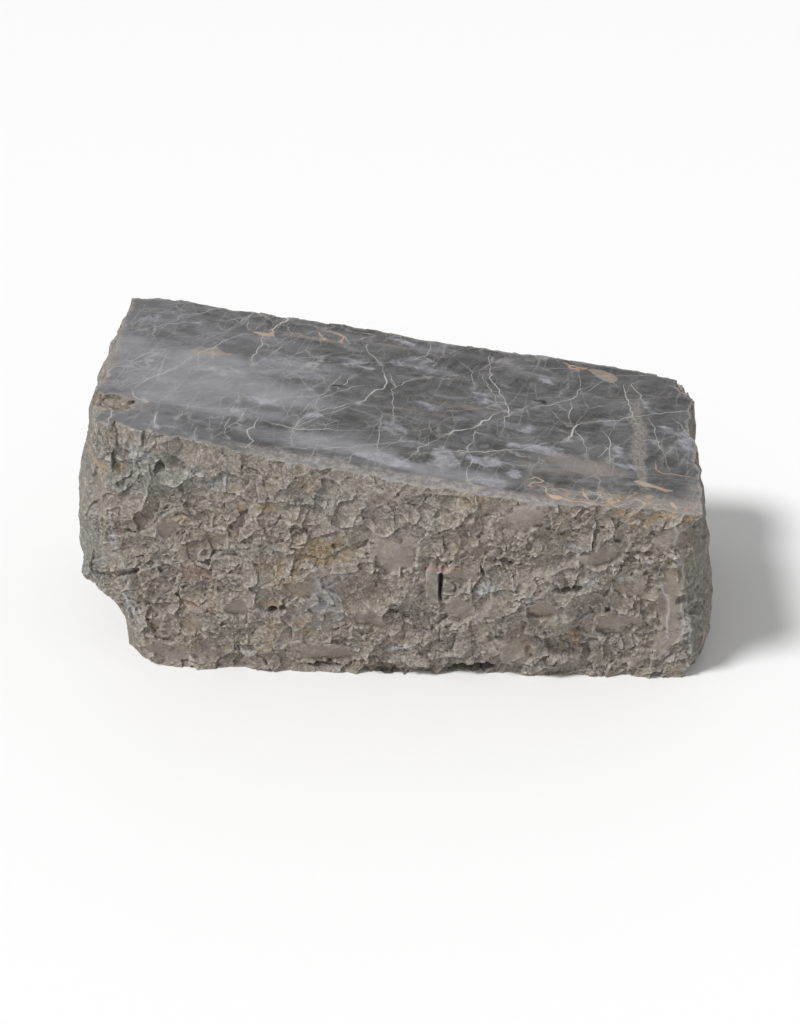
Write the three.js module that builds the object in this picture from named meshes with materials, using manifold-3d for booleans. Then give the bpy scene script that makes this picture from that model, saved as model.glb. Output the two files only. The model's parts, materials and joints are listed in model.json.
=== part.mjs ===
// A quarry block of grey marble, about 2.3 m long: one lump of stone, lying as it is stored.
//
// Frame: millimetres, +Z up. The block lies along X, its higher end at -X, and the split long
// face that people look at faces -Y. The origin is under the middle of the block, on the ground.
//
// The stone was split out of its bed on four sides and sawn across the top, so two faces are
// true planes, the base and the sawn top, and the four sides are split rock. It is built the
// same way: a box taller than the block is bent to its outlines and struck with shallow
// shell-shaped scars, the waste above and below is sawn off, and then the lost pieces come away.

import * as THREE from 'three';
import { mergeVertices } from 'three/addons/utils/BufferGeometryUtils.js';
import Module from 'manifold-3d';

// ---------------------------------------------------------------- driving dimensions, mm

const LENGTH_CELLS = 46;       // facets along the block
const DEPTH_CELLS = 20;        // facets from front to back
const HEIGHT_CELLS = 19;       // facets from base to top

const TOP_MID_HEIGHT = 876;    // height of the sawn top halfway along
const TOP_FALL = 0.154;        // the sawn top falls this much per mm towards +X

const SPARE_HEIGHT = 0.05;     // share of the height that is sawn away above and below
const WASTE = [3200, 2200, 600];

// The worn lip along the front of the sawn top: the middle of its inner line, its fall and its turn
// in degrees, and its plan from that middle.
const SAW_LIP = {
  x: 0,
  y: -482,
  fall: 16,
  turn: -2.2,
  plan: [[-680, -64], [-520, 0], [900, 0], [900, -300], [-680, -300]],
};

const CORNER_TURN = 0.2;       // share of the depth in which each end turns into the front
const BACK_CORNER_TURN = 0.12; // and into the back
const BACK_CORNER_PULL = 0.014;  // which pulls it in by this share of its distance from the middle

const SCARS = 420;             // shell-shaped scars on the split sides
const SCAR_RADIUS = [80, 210];
const SCAR_DEPTH = [6, 30];
const FACET_SHIFT = 11;        // how far a facet's corner wanders within its face
const SEED = 20417;

const STONE = { color: 0x7d7872, roughness: 0.82, metalness: 0 };

// Outlines as [position, value] pairs, read by linear steps between them.
// Front and back arris, y along x.
const FRONT_TOP = [[-1060, -450], [-800, -492], [-560, -522], [0, -535], [520, -548], [780, -508],
  [1055, -448]];
const FRONT_MIDDLE = [[-1050, -470], [-500, -520], [0, -525], [500, -530], [1050, -462]];
const FRONT_BASE = [[-930, -462], [-300, -468], [150, -452], [480, -462], [1040, -436]];
const BACK_TOP = [[-1055, 492], [-900, 526], [-350, 545], [370, 532], [620, 547], [870, 552], [1060, 540]];
const BACK_MIDDLE = [[-1150, 500], [-500, 566], [200, 574], [800, 560], [1110, 505]];
const BACK_BASE = [[-1080, 470], [-400, 540], [300, 552], [1080, 480]];

// Ends, x against the share of the height. The left end leans out to a ledge and is undercut below it.
const LEFT_FRONT = [[0, -915], [0.1, -936], [0.22, -958], [0.34, -995], [0.45, -1028], [0.6, -1042],
  [0.66, -1044], [0.74, -1022], [0.86, -1014], [0.95, -1038], [1, -1059]];
const LEFT_END = [[0, -1030], [0.06, -1032], [0.15, -1054], [0.24, -1104], [0.295, -1190],
  [0.48, -1190], [0.64, -1166], [0.8, -1134], [0.9, -1114], [0.96, -1102], [1, -1066]];
const RIGHT_FRONT = [[0, 1034], [0.06, 1056], [0.18, 1064], [0.42, 1036], [0.5, 1010], [0.72, 984],
  [0.88, 974], [0.95, 1010], [1, 1052]];
const RIGHT_END = [[0, 1104], [0.05, 1134], [0.17, 1146], [0.45, 1136], [0.7, 1114], [0.9, 1092],
  [1, 1074]];

// Pieces knocked off the block: centre, half sizes and turn about Z in degrees.
const LOST_PIECES = [
  { at: [-1000, -318, 1044], half: [112, 66, 34], turn: 12 },   // pocket by the high front corner
  { at: [-1126, 514, 1056], half: [48, 66, 34], turn: -18 },    // worn high back corner
  { at: [1104, 486, 722], half: [84, 128, 27], turn: -12 },     // step on the low back corner
  { at: [1142, -30, 706], half: [86, 62, 40], turn: 8 },        // chip on the low end
  { at: [205, -486, -4], half: [104, 62, 36], turn: 3 },        // hollow under the front edge
];

// ---------------------------------------------------------------- small helpers

const { lerp, clamp, degToRad } = THREE.MathUtils;

function seededRandom(seed) {
  let state = seed;
  return () => {
    state = (state + 0x6d2b79f5) | 0;
    let mixed = Math.imul(state ^ (state >>> 15), 1 | state);
    mixed = (mixed + Math.imul(mixed ^ (mixed >>> 7), 61 | mixed)) ^ mixed;
    return ((mixed ^ (mixed >>> 14)) >>> 0) / 2 ** 32;
  };
}

const random = seededRandom(SEED);
const between = (low, high) => lerp(low, high, random());

function along(outline, position) {
  const next = outline.findIndex(([p]) => p > position);
  if (next === -1) {
    return outline[outline.length - 1][1];
  }
  if (next === 0) {
    return outline[0][1];
  }
  const [p0, value0] = outline[next - 1];
  const [p1, value1] = outline[next];
  return lerp(value0, value1, (position - p0) / (p1 - p0));
}

// A value that runs through three outlines from the base to the top.
function throughHeight(base, middle, top, position, rise) {
  const low = along(base, position);
  const mid = along(middle, position);
  const high = along(top, position);
  return rise < 0.5 ? lerp(low, mid, rise * 2) : lerp(mid, high, rise * 2 - 1);
}

const topHeight = (x) => TOP_MID_HEIGHT - TOP_FALL * x;

// A geometry with nothing but its corners, each held once.
function bare(geometry) {
  geometry.deleteAttribute('normal');
  geometry.deleteAttribute('uv');
  return mergeVertices(geometry, 1e-4);
}

// ---------------------------------------------------------------- the block before it was struck

// x of an end at a share of the depth and of the height: the end turns into the front and the back.
function endX(front, end, depth, rise) {
  const turned = Math.sin(clamp(depth / CORNER_TURN, 0, 1) * Math.PI / 2);
  const x = lerp(along(front, rise), along(end, rise), turned);
  const backTurn = clamp((depth - 1 + BACK_CORNER_TURN) / BACK_CORNER_TURN, 0, 1);
  return x * (1 - BACK_CORNER_PULL * backTurn * backTurn);
}

// Where a point of the unit box lies on the block.
function placeOnBlock(length, depth, rise) {
  const left = endX(LEFT_FRONT, LEFT_END, depth, rise);
  const right = endX(RIGHT_FRONT, RIGHT_END, depth, rise);
  const x = lerp(left, right, length);
  const front = throughHeight(FRONT_BASE, FRONT_MIDDLE, FRONT_TOP, x, rise);
  const back = throughHeight(BACK_BASE, BACK_MIDDLE, BACK_TOP, x, rise);
  return new THREE.Vector3(x, lerp(front, back, depth), rise * topHeight(x));
}

// ---------------------------------------------------------------- scars on the split sides

function sideNormal(length, depth) {
  const normal = new THREE.Vector3();
  normal.x = (length === 1) - (length === 0);
  normal.y = (depth === 1) - (depth === 0);
  return normal.normalize();
}

function makeScars() {
  const scars = [];
  for (let i = 0; i < SCARS; i += 1) {
    const onLongSide = random() < 0.66;
    const far = random() < 0.5 ? 0 : 1;
    const length = onLongSide ? random() : far;
    const depth = onLongSide ? far : random();
    const share = random();
    scars.push({
      centre: placeOnBlock(length, depth, between(-0.05, 1.05)),
      radius: lerp(...SCAR_RADIUS, share * share),
      depth: lerp(...SCAR_DEPTH, share * random()),
      stretch: between(0.6, 1.3),
    });
  }
  return scars;
}

// How deep the scars cut at a point: the deepest one wins, which leaves ridges between them.
function scarDepth(scars, point) {
  let deepest = 0;
  for (const scar of scars) {
    const across = Math.hypot(point.x - scar.centre.x, point.y - scar.centre.y);
    const up = (point.z - scar.centre.z) * scar.stretch;
    const reach = 1 - (across * across + up * up) / (scar.radius * scar.radius);
    if (reach > 0) {
      deepest = Math.max(deepest, scar.depth * reach);
    }
  }
  return deepest;
}

// ---------------------------------------------------------------- making the stone

function splitBlock() {
  const geometry = bare(new THREE.BoxGeometry(1, 1, 1, LENGTH_CELLS, DEPTH_CELLS, HEIGHT_CELLS));
  const position = geometry.getAttribute('position');
  const scars = makeScars();

  for (let i = 0; i < position.count; i += 1) {
    const length = position.getX(i) + 0.5;
    const depth = position.getY(i) + 0.5;
    const rise = lerp(-SPARE_HEIGHT, 1 + SPARE_HEIGHT, position.getZ(i) + 0.5);
    const point = placeOnBlock(length, depth, rise);
    const normal = sideNormal(length, depth);
    if (normal.lengthSq() > 0) {
      point.addScaledVector(normal, -scarDepth(scars, point));
      point.x += between(-1, 1) * FACET_SHIFT;
      point.y += between(-1, 1) * FACET_SHIFT * 0.5;
      point.z += between(-1, 1) * FACET_SHIFT;
    }
    position.setXYZ(i, point.x, point.y, point.z);
  }
  return geometry;
}

// A slab of waste above the saw: its underside is the sawn top, turned by the fall of the cut.
function sawnWaste() {
  const slab = new THREE.BoxGeometry(...WASTE);
  slab.translate(0, 0, WASTE[2] / 2);
  slab.rotateY(Math.atan(TOP_FALL));
  slab.translate(0, 0, TOP_MID_HEIGHT);
  return bare(slab);
}

// The worn lip: a shallow slope ground along the front of the sawn top.
function lipWaste() {
  const plan = new THREE.Shape(SAW_LIP.plan.map(([x, y]) => new THREE.Vector2(x, y)));
  const slab = new THREE.ExtrudeGeometry(plan, { depth: WASTE[2], bevelEnabled: false });
  slab.rotateX(degToRad(SAW_LIP.fall));
  slab.rotateY(Math.atan(TOP_FALL));
  slab.rotateZ(degToRad(SAW_LIP.turn));
  slab.translate(SAW_LIP.x, SAW_LIP.y, topHeight(SAW_LIP.x));
  return bare(slab);
}

function groundWaste() {
  const slab = new THREE.BoxGeometry(...WASTE);
  slab.translate(0, 0, -WASTE[2] / 2);
  return bare(slab);
}

function lostPiece({ half, turn, at }) {
  const geometry = bare(new THREE.IcosahedronGeometry(1, 3));
  const position = geometry.getAttribute('position');
  for (let i = 0; i < position.count; i += 1) {
    const swell = between(0.88, 1.12);
    position.setXYZ(i, position.getX(i) * swell, position.getY(i) * swell, position.getZ(i) * swell);
  }
  geometry.scale(...half);
  geometry.rotateZ(degToRad(turn));
  geometry.translate(...at);
  return geometry;
}

const wasm = await Module();
wasm.setup();

function toSolid(geometry) {
  return new wasm.Manifold(new wasm.Mesh({
    numProp: 3,
    vertProperties: geometry.getAttribute('position').array,
    triVerts: new Uint32Array(geometry.index.array),
  }));
}

function toGeometry(solid) {
  const mesh = solid.getMesh();
  const geometry = new THREE.BufferGeometry();
  geometry.setAttribute('position', new THREE.BufferAttribute(mesh.vertProperties, 3));
  geometry.setIndex(new THREE.BufferAttribute(mesh.triVerts, 1));
  return geometry;
}

let stone = toSolid(splitBlock());
for (const waste of [groundWaste(), sawnWaste(), lipWaste()]) {
  stone = stone.subtract(toSolid(waste));
}
for (const piece of LOST_PIECES) {
  stone = stone.subtract(toSolid(lostPiece(piece)));
}

const stoneGeometry = toGeometry(stone);
stoneGeometry.computeBoundingBox();
const middle = stoneGeometry.boundingBox.getCenter(new THREE.Vector3());
stoneGeometry.translate(-middle.x, -middle.y, -stoneGeometry.boundingBox.min.z);
stoneGeometry.computeVertexNormals();

const block = new THREE.Mesh(stoneGeometry, new THREE.MeshStandardMaterial(STONE));
block.name = 'marble_block';

const model = new THREE.Group();
model.add(block);

export default model;
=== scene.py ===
# %% [markdown]
# # A quarry block of veined grey marble
#
# The object is one lump of stone, a little over two metres long. Four of its sides were split,
# so they are rough and covered with shell-shaped scars, and its top was sawn, so that face is a
# plane that shows the clouds and veins inside the marble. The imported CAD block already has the
# right size and outline. This lesson gives it the fine surface: a dense split skin, a sawn face
# with real vein outlines in its mesh, and two node materials that share their node groups.

# %% Load the frame
import json
import math

import bmesh
import bpy
import numpy as np
from mathutils import Matrix, Vector
from mathutils.geometry import delaunay_2d_cdt


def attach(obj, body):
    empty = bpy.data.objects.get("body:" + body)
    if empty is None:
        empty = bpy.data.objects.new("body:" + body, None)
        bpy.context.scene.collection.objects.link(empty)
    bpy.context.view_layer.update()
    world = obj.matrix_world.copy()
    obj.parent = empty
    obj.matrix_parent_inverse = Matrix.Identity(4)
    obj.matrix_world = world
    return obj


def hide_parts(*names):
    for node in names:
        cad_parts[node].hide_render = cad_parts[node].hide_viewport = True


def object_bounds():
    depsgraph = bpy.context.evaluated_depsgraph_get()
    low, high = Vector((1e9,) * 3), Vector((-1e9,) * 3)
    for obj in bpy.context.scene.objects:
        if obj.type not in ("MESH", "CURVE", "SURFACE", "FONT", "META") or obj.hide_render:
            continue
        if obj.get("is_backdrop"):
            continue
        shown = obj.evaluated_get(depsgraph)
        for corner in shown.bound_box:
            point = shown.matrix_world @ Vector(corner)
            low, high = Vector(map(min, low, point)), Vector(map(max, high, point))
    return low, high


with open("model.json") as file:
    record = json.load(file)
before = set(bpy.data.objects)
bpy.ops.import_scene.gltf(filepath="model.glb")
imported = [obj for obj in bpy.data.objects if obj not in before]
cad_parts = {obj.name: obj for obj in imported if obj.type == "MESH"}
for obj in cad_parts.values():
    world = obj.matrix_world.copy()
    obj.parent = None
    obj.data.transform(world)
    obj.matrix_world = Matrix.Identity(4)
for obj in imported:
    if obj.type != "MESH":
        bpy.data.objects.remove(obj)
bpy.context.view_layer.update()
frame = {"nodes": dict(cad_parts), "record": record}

# %% [markdown]
# The record says where the sawn top is: a point on it and the direction that it faces. The worn
# lip is a second, shallower plane ground along the front of the top. Both are kept as a point
# and a normal, because a plane in that form can be tested and cut with directly.

# %% The planes of the stone
mounts = {m["name"]: m for m in frame["record"]["mounts"]}
TOP_POINT = np.array(mounts["sawn_top"]["pos_m"])
TOP_NORMAL = np.array(mounts["sawn_top"]["axis"])
TOP_FALL = TOP_NORMAL[0] / TOP_NORMAL[2]

LIP_START = -0.491          # y of the lip's inner line, halfway along the block
LIP_TURN = math.radians(-2.2)
LIP_SLOPE = math.radians(16)
LIP_ENDS = (-0.62, 0.90)    # x where the lip begins and ends
LIP_FADES = (0.14, 0.20)    # and over what length it fades in and out there
LIP_SOFTNESS = 0.007        # the inner line of the lip is worn round over this distance


def top_height(x):
    return TOP_POINT[2] - TOP_FALL * (x - TOP_POINT[0])


def past_lip_line(x, y):
    """How far a point lies in front of the lip's inner line, in metres."""
    return (LIP_START + math.tan(LIP_TURN) * x - y) * math.cos(LIP_TURN)


def sawn_height(x, y):
    """Height of the finished sawn face, with its worn lip."""
    across = past_lip_line(x, y)
    worn = LIP_SOFTNESS * np.logaddexp(0, across / LIP_SOFTNESS)
    fade_in = np.clip((x - LIP_ENDS[0]) / LIP_FADES[0], 0, 1)
    fade_out = np.clip((LIP_ENDS[1] - x) / LIP_FADES[1], 0, 1)
    return top_height(x) - math.tan(LIP_SLOPE) * worn * (fade_in * fade_out)


print("top falls", round(math.degrees(math.atan(TOP_FALL)), 2), "degrees")

# %% [markdown]
# Splitting a stone leaves shells: hollows with sharp ridges between them, and plates that broke
# away at a step. Both patterns come from scattering points through space and asking, for each
# vertex, which point is nearest. The distance itself gives a hollow, and a random tilt for each
# point gives a plate. Numpy answers this for all vertices at once, and a fixed seed makes the
# stone the same every time.

# %% Scattered cells and soft noise
NEIGHBOURS = [(i, j, k) for i in (-1, 0, 1) for j in (-1, 0, 1) for k in (-1, 0, 1)]


def scatter(cell, seed):
    """A repeatable random number from 0 to 1 for each whole-number cell."""
    x, y, z = (cell[:, i].astype(np.int64).astype(np.uint64) for i in range(3))
    mixed = x * np.uint64(0x9E3779B97F4A7C15) ^ y * np.uint64(0xC2B2AE3D27D4EB4F)
    mixed ^= z * np.uint64(0x165667B19E3779F9) + np.uint64(seed * 0x27D4EB2F165667C5 % 2**64)
    mixed ^= mixed >> np.uint64(29)
    mixed *= np.uint64(0xBF58476D1CE4E5B9)
    mixed ^= mixed >> np.uint64(32)
    return (mixed >> np.uint64(11)).astype(np.float64) / 2**53


def noise(points, size, seed):
    """Soft noise from -1 to 1 with lumps about as wide as size."""
    spot = points / size
    base = np.floor(spot)
    part = spot - base
    part = part * part * (3 - 2 * part)
    total = np.zeros(len(points))
    for corner in ((i, j, k) for i in (0, 1) for j in (0, 1) for k in (0, 1)):
        weight = np.prod(np.where(np.array(corner), part, 1 - part), axis=1)
        total += weight * scatter(base + corner, seed)
    return total * 2 - 1


def warp(points, size, reach, seed):
    """Points pushed about by soft noise, so that straight borders become curved."""
    push = [noise(points, size, seed + i) for i in range(3)]
    return points + reach * np.stack(push, axis=1)


def cells(points, size, seed, stretch=(1, 1, 1)):
    """For each point: squared distance to the nearest scattered point, how far the border with
    the next one is, the offset from the nearest one and that one's own random numbers."""
    spot = points / (size * np.array(stretch))
    base = np.floor(spot)
    nearest = np.full(len(points), 9.0)
    second = np.full(len(points), 9.0)
    offset = np.zeros_like(points)
    owner = np.zeros_like(points)
    for step in NEIGHBOURS:
        cell = base + step
        centre = cell + 0.1 + 0.8 * np.stack([scatter(cell, seed + i) for i in range(3)], axis=1)
        apart = spot - centre
        distance = (apart**2).sum(axis=1) + 0.18 * scatter(cell, seed + 3)
        closer = distance < nearest
        second = np.where(closer, nearest, np.minimum(second, distance))
        offset[closer] = apart[closer]
        owner[closer] = cell[closer]
        nearest = np.where(closer, distance, nearest)
    return nearest, np.sqrt(second) - np.sqrt(nearest), offset, owner


# %% [markdown]
# Veins and seams are lines. Each is given by a few points, a smooth curve runs through them, and a
# little noise shakes it as stone shakes a crack. The share of a line at some point is 1 on its
# middle and falls to 0 at its own width, so one number carries both where it is and how strong.

# %% Curves through points
VEIN_STEP = 0.011           # spacing of the points along a vein
FULL_VEIN = 0.0036          # a vein with a smaller half width than this is fainter


def smooth_curve(points, step, closed=False):
    """Points an even step apart on a smooth curve through the given ones."""
    given = np.array(points, dtype=float)
    if closed:
        before, after = given[-1:], given[:2]
    else:
        before, after = 2 * given[:1] - given[1:2], 2 * given[-1:] - given[-2:-1]
    knots = np.concatenate([before, given, after])
    made = []
    for p0, p1, p2, p3 in zip(knots, knots[1:], knots[2:], knots[3:]):
        pieces = max(2, int(np.hypot(*(p2 - p1)) / step))
        for t in np.arange(pieces) / pieces:
            made.append(0.5 * (2 * p1 + (p2 - p0) * t + (2 * p0 - 5 * p1 + 4 * p2 - p3) * t**2
                               + (3 * p1 - p0 - 3 * p2 + p3) * t**3))
    if not closed:
        made.append(given[-1])
    return np.array(made)


def flat(points):
    """Points of the plane as points in space, for the noise functions."""
    return np.column_stack([points, np.zeros(len(points))])


def trace(points, step=VEIN_STEP):
    """A vein's middle line: a smooth curve with the small shakes of a crack."""
    line = smooth_curve(points, step)
    shake = np.stack([noise(flat(line), 0.026, 5), noise(flat(line), 0.026, 6)], axis=1) * 0.008
    shake += np.stack([noise(flat(line), 0.011, 8), noise(flat(line), 0.011, 9)], axis=1) * 0.003
    return line + shake


def gap_to_stretch(points, start, end):
    """Distance from each point to one straight stretch of a line."""
    run = end - start
    share = np.clip(((points - start) @ run) / (run @ run), 0, 1)
    return np.hypot(*(points - start - share[:, None] * run).T)


def share_of_lines(lines, points):
    """1 on the middle of a line, falling to 0 at its own width."""
    most = np.zeros(len(points))
    for line, width in lines:
        for start, end, wide in zip(line[:-1], line[1:], width):
            close = np.abs(points - (start + end) / 2).max(axis=1) < VEIN_STEP * 2
            far = gap_to_stretch(points[close], start, end)
            strength = min(1.0, wide / FULL_VEIN)
            most[close] = np.maximum(most[close], strength * np.clip(1 - far / (0.92 * wide), 0, 1))
    return most


print("a bent line of 3 points becomes", len(trace([(0, 0), (0.1, 0), (0.1, 0.1)])), "points")


# %% [markdown]
# The skin starts as a copy of the CAD block, not yet sawn: its top and base are pushed out by a
# few centimetres, so that the rough skin can later be cut clean by the true planes, as the saw
# did. A voxel remesh turns the big uneven facets into small even ones, and one subdivision
# rounds what is left of the old facets.

# %% Copy the CAD block and make it an even skin
SPARE = 0.05                # the top and the base are pushed out this far
VOXEL = 0.0078              # size of the even facets
MARGIN = 0.03               # skin kept beyond each saw plane until the saw comes
SAME_PLACE = 1e-5           # corners nearer than this are one corner
ON_PLANE = 0.001            # a corner this near to a plane lies on it
ON_LIP = 0.0015
LIP_DEPTH = 0.03            # the lip's slope never goes deeper than this


def applied(obj):
    """The object's mesh with its modifiers applied; the modifiers are then dropped."""
    evaluated = obj.evaluated_get(bpy.context.evaluated_depsgraph_get())
    ready = bpy.data.meshes.new_from_object(evaluated)
    obj.modifiers.clear()
    obj.data = ready
    return ready


def of_vertices(mesh, what):
    """A row of three numbers for each vertex: its place is "co", its direction is "normal"."""
    rows = np.empty(len(mesh.vertices) * 3)
    mesh.vertices.foreach_get(what, rows)
    return rows.reshape(-1, 3)


def cut(mesh, point, normal):
    """Cuts along a plane and drops what lies on the side that the normal points to."""
    part = list(mesh.verts) + list(mesh.edges) + list(mesh.faces)
    bmesh.ops.bisect_plane(mesh, geom=part, plane_co=point, plane_no=normal, clear_outer=True,
                           dist=1e-6)


cad_block = frame["nodes"]["marble_block"]
stone = bpy.data.objects.new("split_stone", cad_block.data.copy())
bpy.context.scene.collection.objects.link(stone)
stone.data.materials.clear()

welded = bmesh.new()
welded.from_mesh(stone.data)
bmesh.ops.remove_doubles(welded, verts=welded.verts, dist=SAME_PLACE)
for vert in welded.verts:
    x, y, z = vert.co
    below_top = top_height(x) - z
    lip_drop = math.tan(LIP_SLOPE) * max(0.0, past_lip_line(x, y))
    on_lip = abs(below_top - lip_drop) < ON_LIP and below_top < LIP_DEPTH
    if abs(below_top) < ON_PLANE or on_lip:
        vert.co.z += SPARE
    elif z < ON_PLANE:
        vert.co.z -= SPARE
welded.to_mesh(stone.data)
welded.free()
remesh = stone.modifiers.new("even skin", "REMESH")
remesh.mode = "VOXEL"
remesh.voxel_size = VOXEL
rough = bmesh.new()
rough.from_mesh(applied(stone))
cut(rough, Vector(TOP_POINT) + Vector((0, 0, MARGIN)), Vector(TOP_NORMAL))
cut(rough, Vector((0, 0, -MARGIN)), Vector((0, 0, -1)))
rough.to_mesh(stone.data)
rough.free()
finer = stone.modifiers.new("finer", "SUBSURF")
finer.levels = 1
skin = applied(stone)
print("even skin:", len(skin.polygons), "faces")

# %% [markdown]
# Now the stone is struck. Large scars come first and small ones ride on them. Each plate leans its
# own way and stands out a little more at its foot, so a thin shadow lies under it, as under the
# scales of split limestone. The small scars are weaker in calm areas, and the ends of the block
# and the rim under the sawn face are calmer than the long sides.

# %% Strike the split faces
# Each row: size of the scars, depth of the hollows, step between plates, tilt, foot.
SCARS = [
    (0.130, 0.0095, 0.0036, 0.10, 0.03),
    (0.062, 0.0042, 0.0020, 0.20, 0.06),
    (0.032, 0.0018, 0.0008, 0.20, 0.06),
    (0.017, 0.0007, 0.0003, 0.18, 0.03),
]
STRETCH = (1.5, 1.05, 0.72)
SMALL = 0.05                # scars smaller than this are weaker in calm areas
SUNK = 0.002                # the middle of the relief lies this far inside the CAD surface
RIM_DEPTH = 0.16            # the skin is calmer down to this depth under the sawn face
SMALL_LEFT = 0.3            # share of the small scars left where the skin is calm
END_CALM = 0.75             # share of the relief taken from the ends of the block
RIM_LEFT = 0.62             # share of it left right under the sawn face
# An area broken into tall wedges: its middle along and up, half length and half height.
WEDGES = (-0.84, 0.95, 0.30, 0.11)
WEDGE_SIZE = 0.075
WEDGE_STRETCH = (0.9, 1.0, 1.7)
WEDGE_STEP = 0.016          # how far one wedge may stand out from the next
WEDGE_TILT = 0.85


def turned(number):
    """A turn by an odd angle, so that no pattern lines up with the block."""
    about_y = Matrix.Rotation(0.5 + number * 0.9, 3, "Y")
    return np.array(about_y @ Matrix.Rotation(0.4 + number, 3, "Z"))


def smooth_step(values, low, high):
    part = np.clip((values - low) / (high - low), 0, 1)
    return part * part * (3 - 2 * part)


def random_lean(owner, seed):
    """Each cell's own random direction."""
    return np.stack([scatter(owner, seed + i) - 0.5 for i in range(3)], axis=1)


def strike(place, outward):
    """Relief that the scars give to each point of the skin."""
    calm = smooth_step(noise(place, 0.17, 31) + 0.6 * noise(place, 0.08, 32), -0.55, 0.35)
    relief = np.zeros(len(place))
    for number, (size, hollow, step, tilt, foot) in enumerate(SCARS):
        turn = turned(number)
        bent = warp(place, size * 0.9, size * 0.35, 40 + 10 * number) @ turn.T
        near, border, offset, owner = cells(bent, size, 7 + 20 * number, STRETCH)
        lean = random_lean(owner, 90 + 5 * number)
        plate = scatter(owner, 96 + 5 * number) - 0.5
        upright = offset @ turn
        scars = hollow * (near * 1.6 - 0.6) + step * 2 * plate
        scars += tilt * 2 * size * (lean * offset).sum(axis=1) - foot * size * upright[:, 2]
        relief += scars * (SMALL_LEFT + (1 - SMALL_LEFT) * calm if size < SMALL else 1.0)
    on_end = smooth_step(np.abs(outward[:, 0]), 0.55, 0.9)
    below = smooth_step(top_height(place[:, 0]) - place[:, 2], 0.0, RIM_DEPTH)
    relief -= np.median(relief) + SUNK
    relief *= (1 - END_CALM * on_end) * (RIM_LEFT + (1 - RIM_LEFT) * below)

    far = np.hypot((place[:, 0] - WEDGES[0]) / WEDGES[2], (place[:, 2] - WEDGES[1]) / WEDGES[3])
    broken = smooth_step(far, 1.3, 0.6) * smooth_step(-outward[:, 1], 0.3, 0.6)
    bent = warp(place, 0.05, 0.018, 211)
    _, _, offset, owner = cells(bent, WEDGE_SIZE, 221, WEDGE_STRETCH)
    lean = random_lean(owner, 231)
    wedge = WEDGE_STEP * (scatter(owner, 235) - 0.6)
    wedge += WEDGE_TILT * WEDGE_SIZE * (lean * offset).sum(axis=1)
    return relief * (1 - 0.45 * broken) + wedge * broken


print("scar sizes:", [row[0] for row in SCARS], "metres")


# %% [markdown]
# A few large marks are given one by one. A spall is a smooth face that a flat splinter left behind: inside
# its outline the small scars are nearly gone and the surface leans one way. A natural joint runs down the
# long side, with the stone on one side of it a little further back.

# %% Spalls and the joint, in metres
# Each spall: its middle along and up the long side, half width, half height, how deep it lies, and
# how far it leans along and upwards.
SPALLS = [
    (0.143, 0.42, 0.024, 0.105, 0.003, -0.5, 0.0),
    (-0.01, 0.545, 0.06, 0.085, 0.002, 0.12, -0.15),
    (0.062, 0.565, 0.04, 0.07, 0.004, -0.25, -0.05),
    (-0.25, 0.09, 0.115, 0.05, 0.004, 0.05, -0.55),
    (0.445, 0.135, 0.065, 0.09, 0.004, -0.25, 0.25),
    (1.0, 0.3, 0.055, 0.19, 0.0, 0.15, 0.05),
    (0.97, 0.62, 0.08, 0.06, 0.0, 0.1, -0.15),
    (-0.83, 0.065, 0.09, 0.045, 0.004, 0.05, -0.35),
    (-0.725, 0.215, 0.05, 0.05, 0.006, 0.2, -0.3),
    (-0.32, 0.4, 0.06, 0.05, 0.005, 0.15, -0.25),
    (0.46, 0.735, 0.06, 0.06, 0.002, 0.0, -0.2),
    (0.74, 0.56, 0.085, 0.045, 0.006, -0.15, -0.35),
    (0.54, 0.33, 0.06, 0.045, 0.006, 0.2, -0.35),
    (-0.56, 0.3, 0.055, 0.045, 0.005, -0.2, -0.3),
    (0.8, 0.25, 0.08, 0.05, 0.006, 0.1, -0.3),
    (0.245, 0.3, 0.07, 0.06, 0.004, -0.1, -0.25),
    (0.25, 0.48, 0.06, 0.04, 0.004, 0.25, -0.35),
    (0.86, 0.42, 0.06, 0.06, 0.004, 0.25, -0.15),
    (-0.8, 0.62, 0.06, 0.045, 0.003, -0.25, -0.3),
    (-0.09, 0.26, 0.07, 0.045, 0.005, 0.2, -0.3),
]
SPALL_CALM = 0.15           # share of the small relief left inside a spall
# Pits: middle along and up, half width, half height, depth.
PITS = [
    (0.6, 0.13, 0.1, 0.06, 0.02),
    (0.66, 0.2, 0.04, 0.03, 0.014),
    (0.63, 0.425, 0.05, 0.014, 0.022),
    (-0.43, 0.29, 0.018, 0.014, 0.024),
    (-0.392, 0.302, 0.012, 0.014, 0.02),
    (-0.25, 0.03, 0.09, 0.012, 0.014),
    (0.27, 0.03, 0.105, 0.022, 0.06),
    (0.169, 0.41, 0.007, 0.07, 0.03),
    (0.7, 0.13, 0.016, 0.06, 0.016),
    (1.03, 0.353, 0.018, 0.026, 0.012),
    (-0.6, 0.52, 0.06, 0.018, 0.012),
    (0.38, 0.54, 0.05, 0.016, 0.014),
    (0.86, 0.56, 0.06, 0.014, 0.012),
]
JOINT_AT = 0.170            # x of the joint
JOINT_SPAN = (0.02, 0.70)   # its lower and upper end
JOINT_STEP = 0.007          # the stone beyond the joint lies this far back
GROOVE = (0.005, 0.009)     # half width and depth of the groove along it

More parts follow.
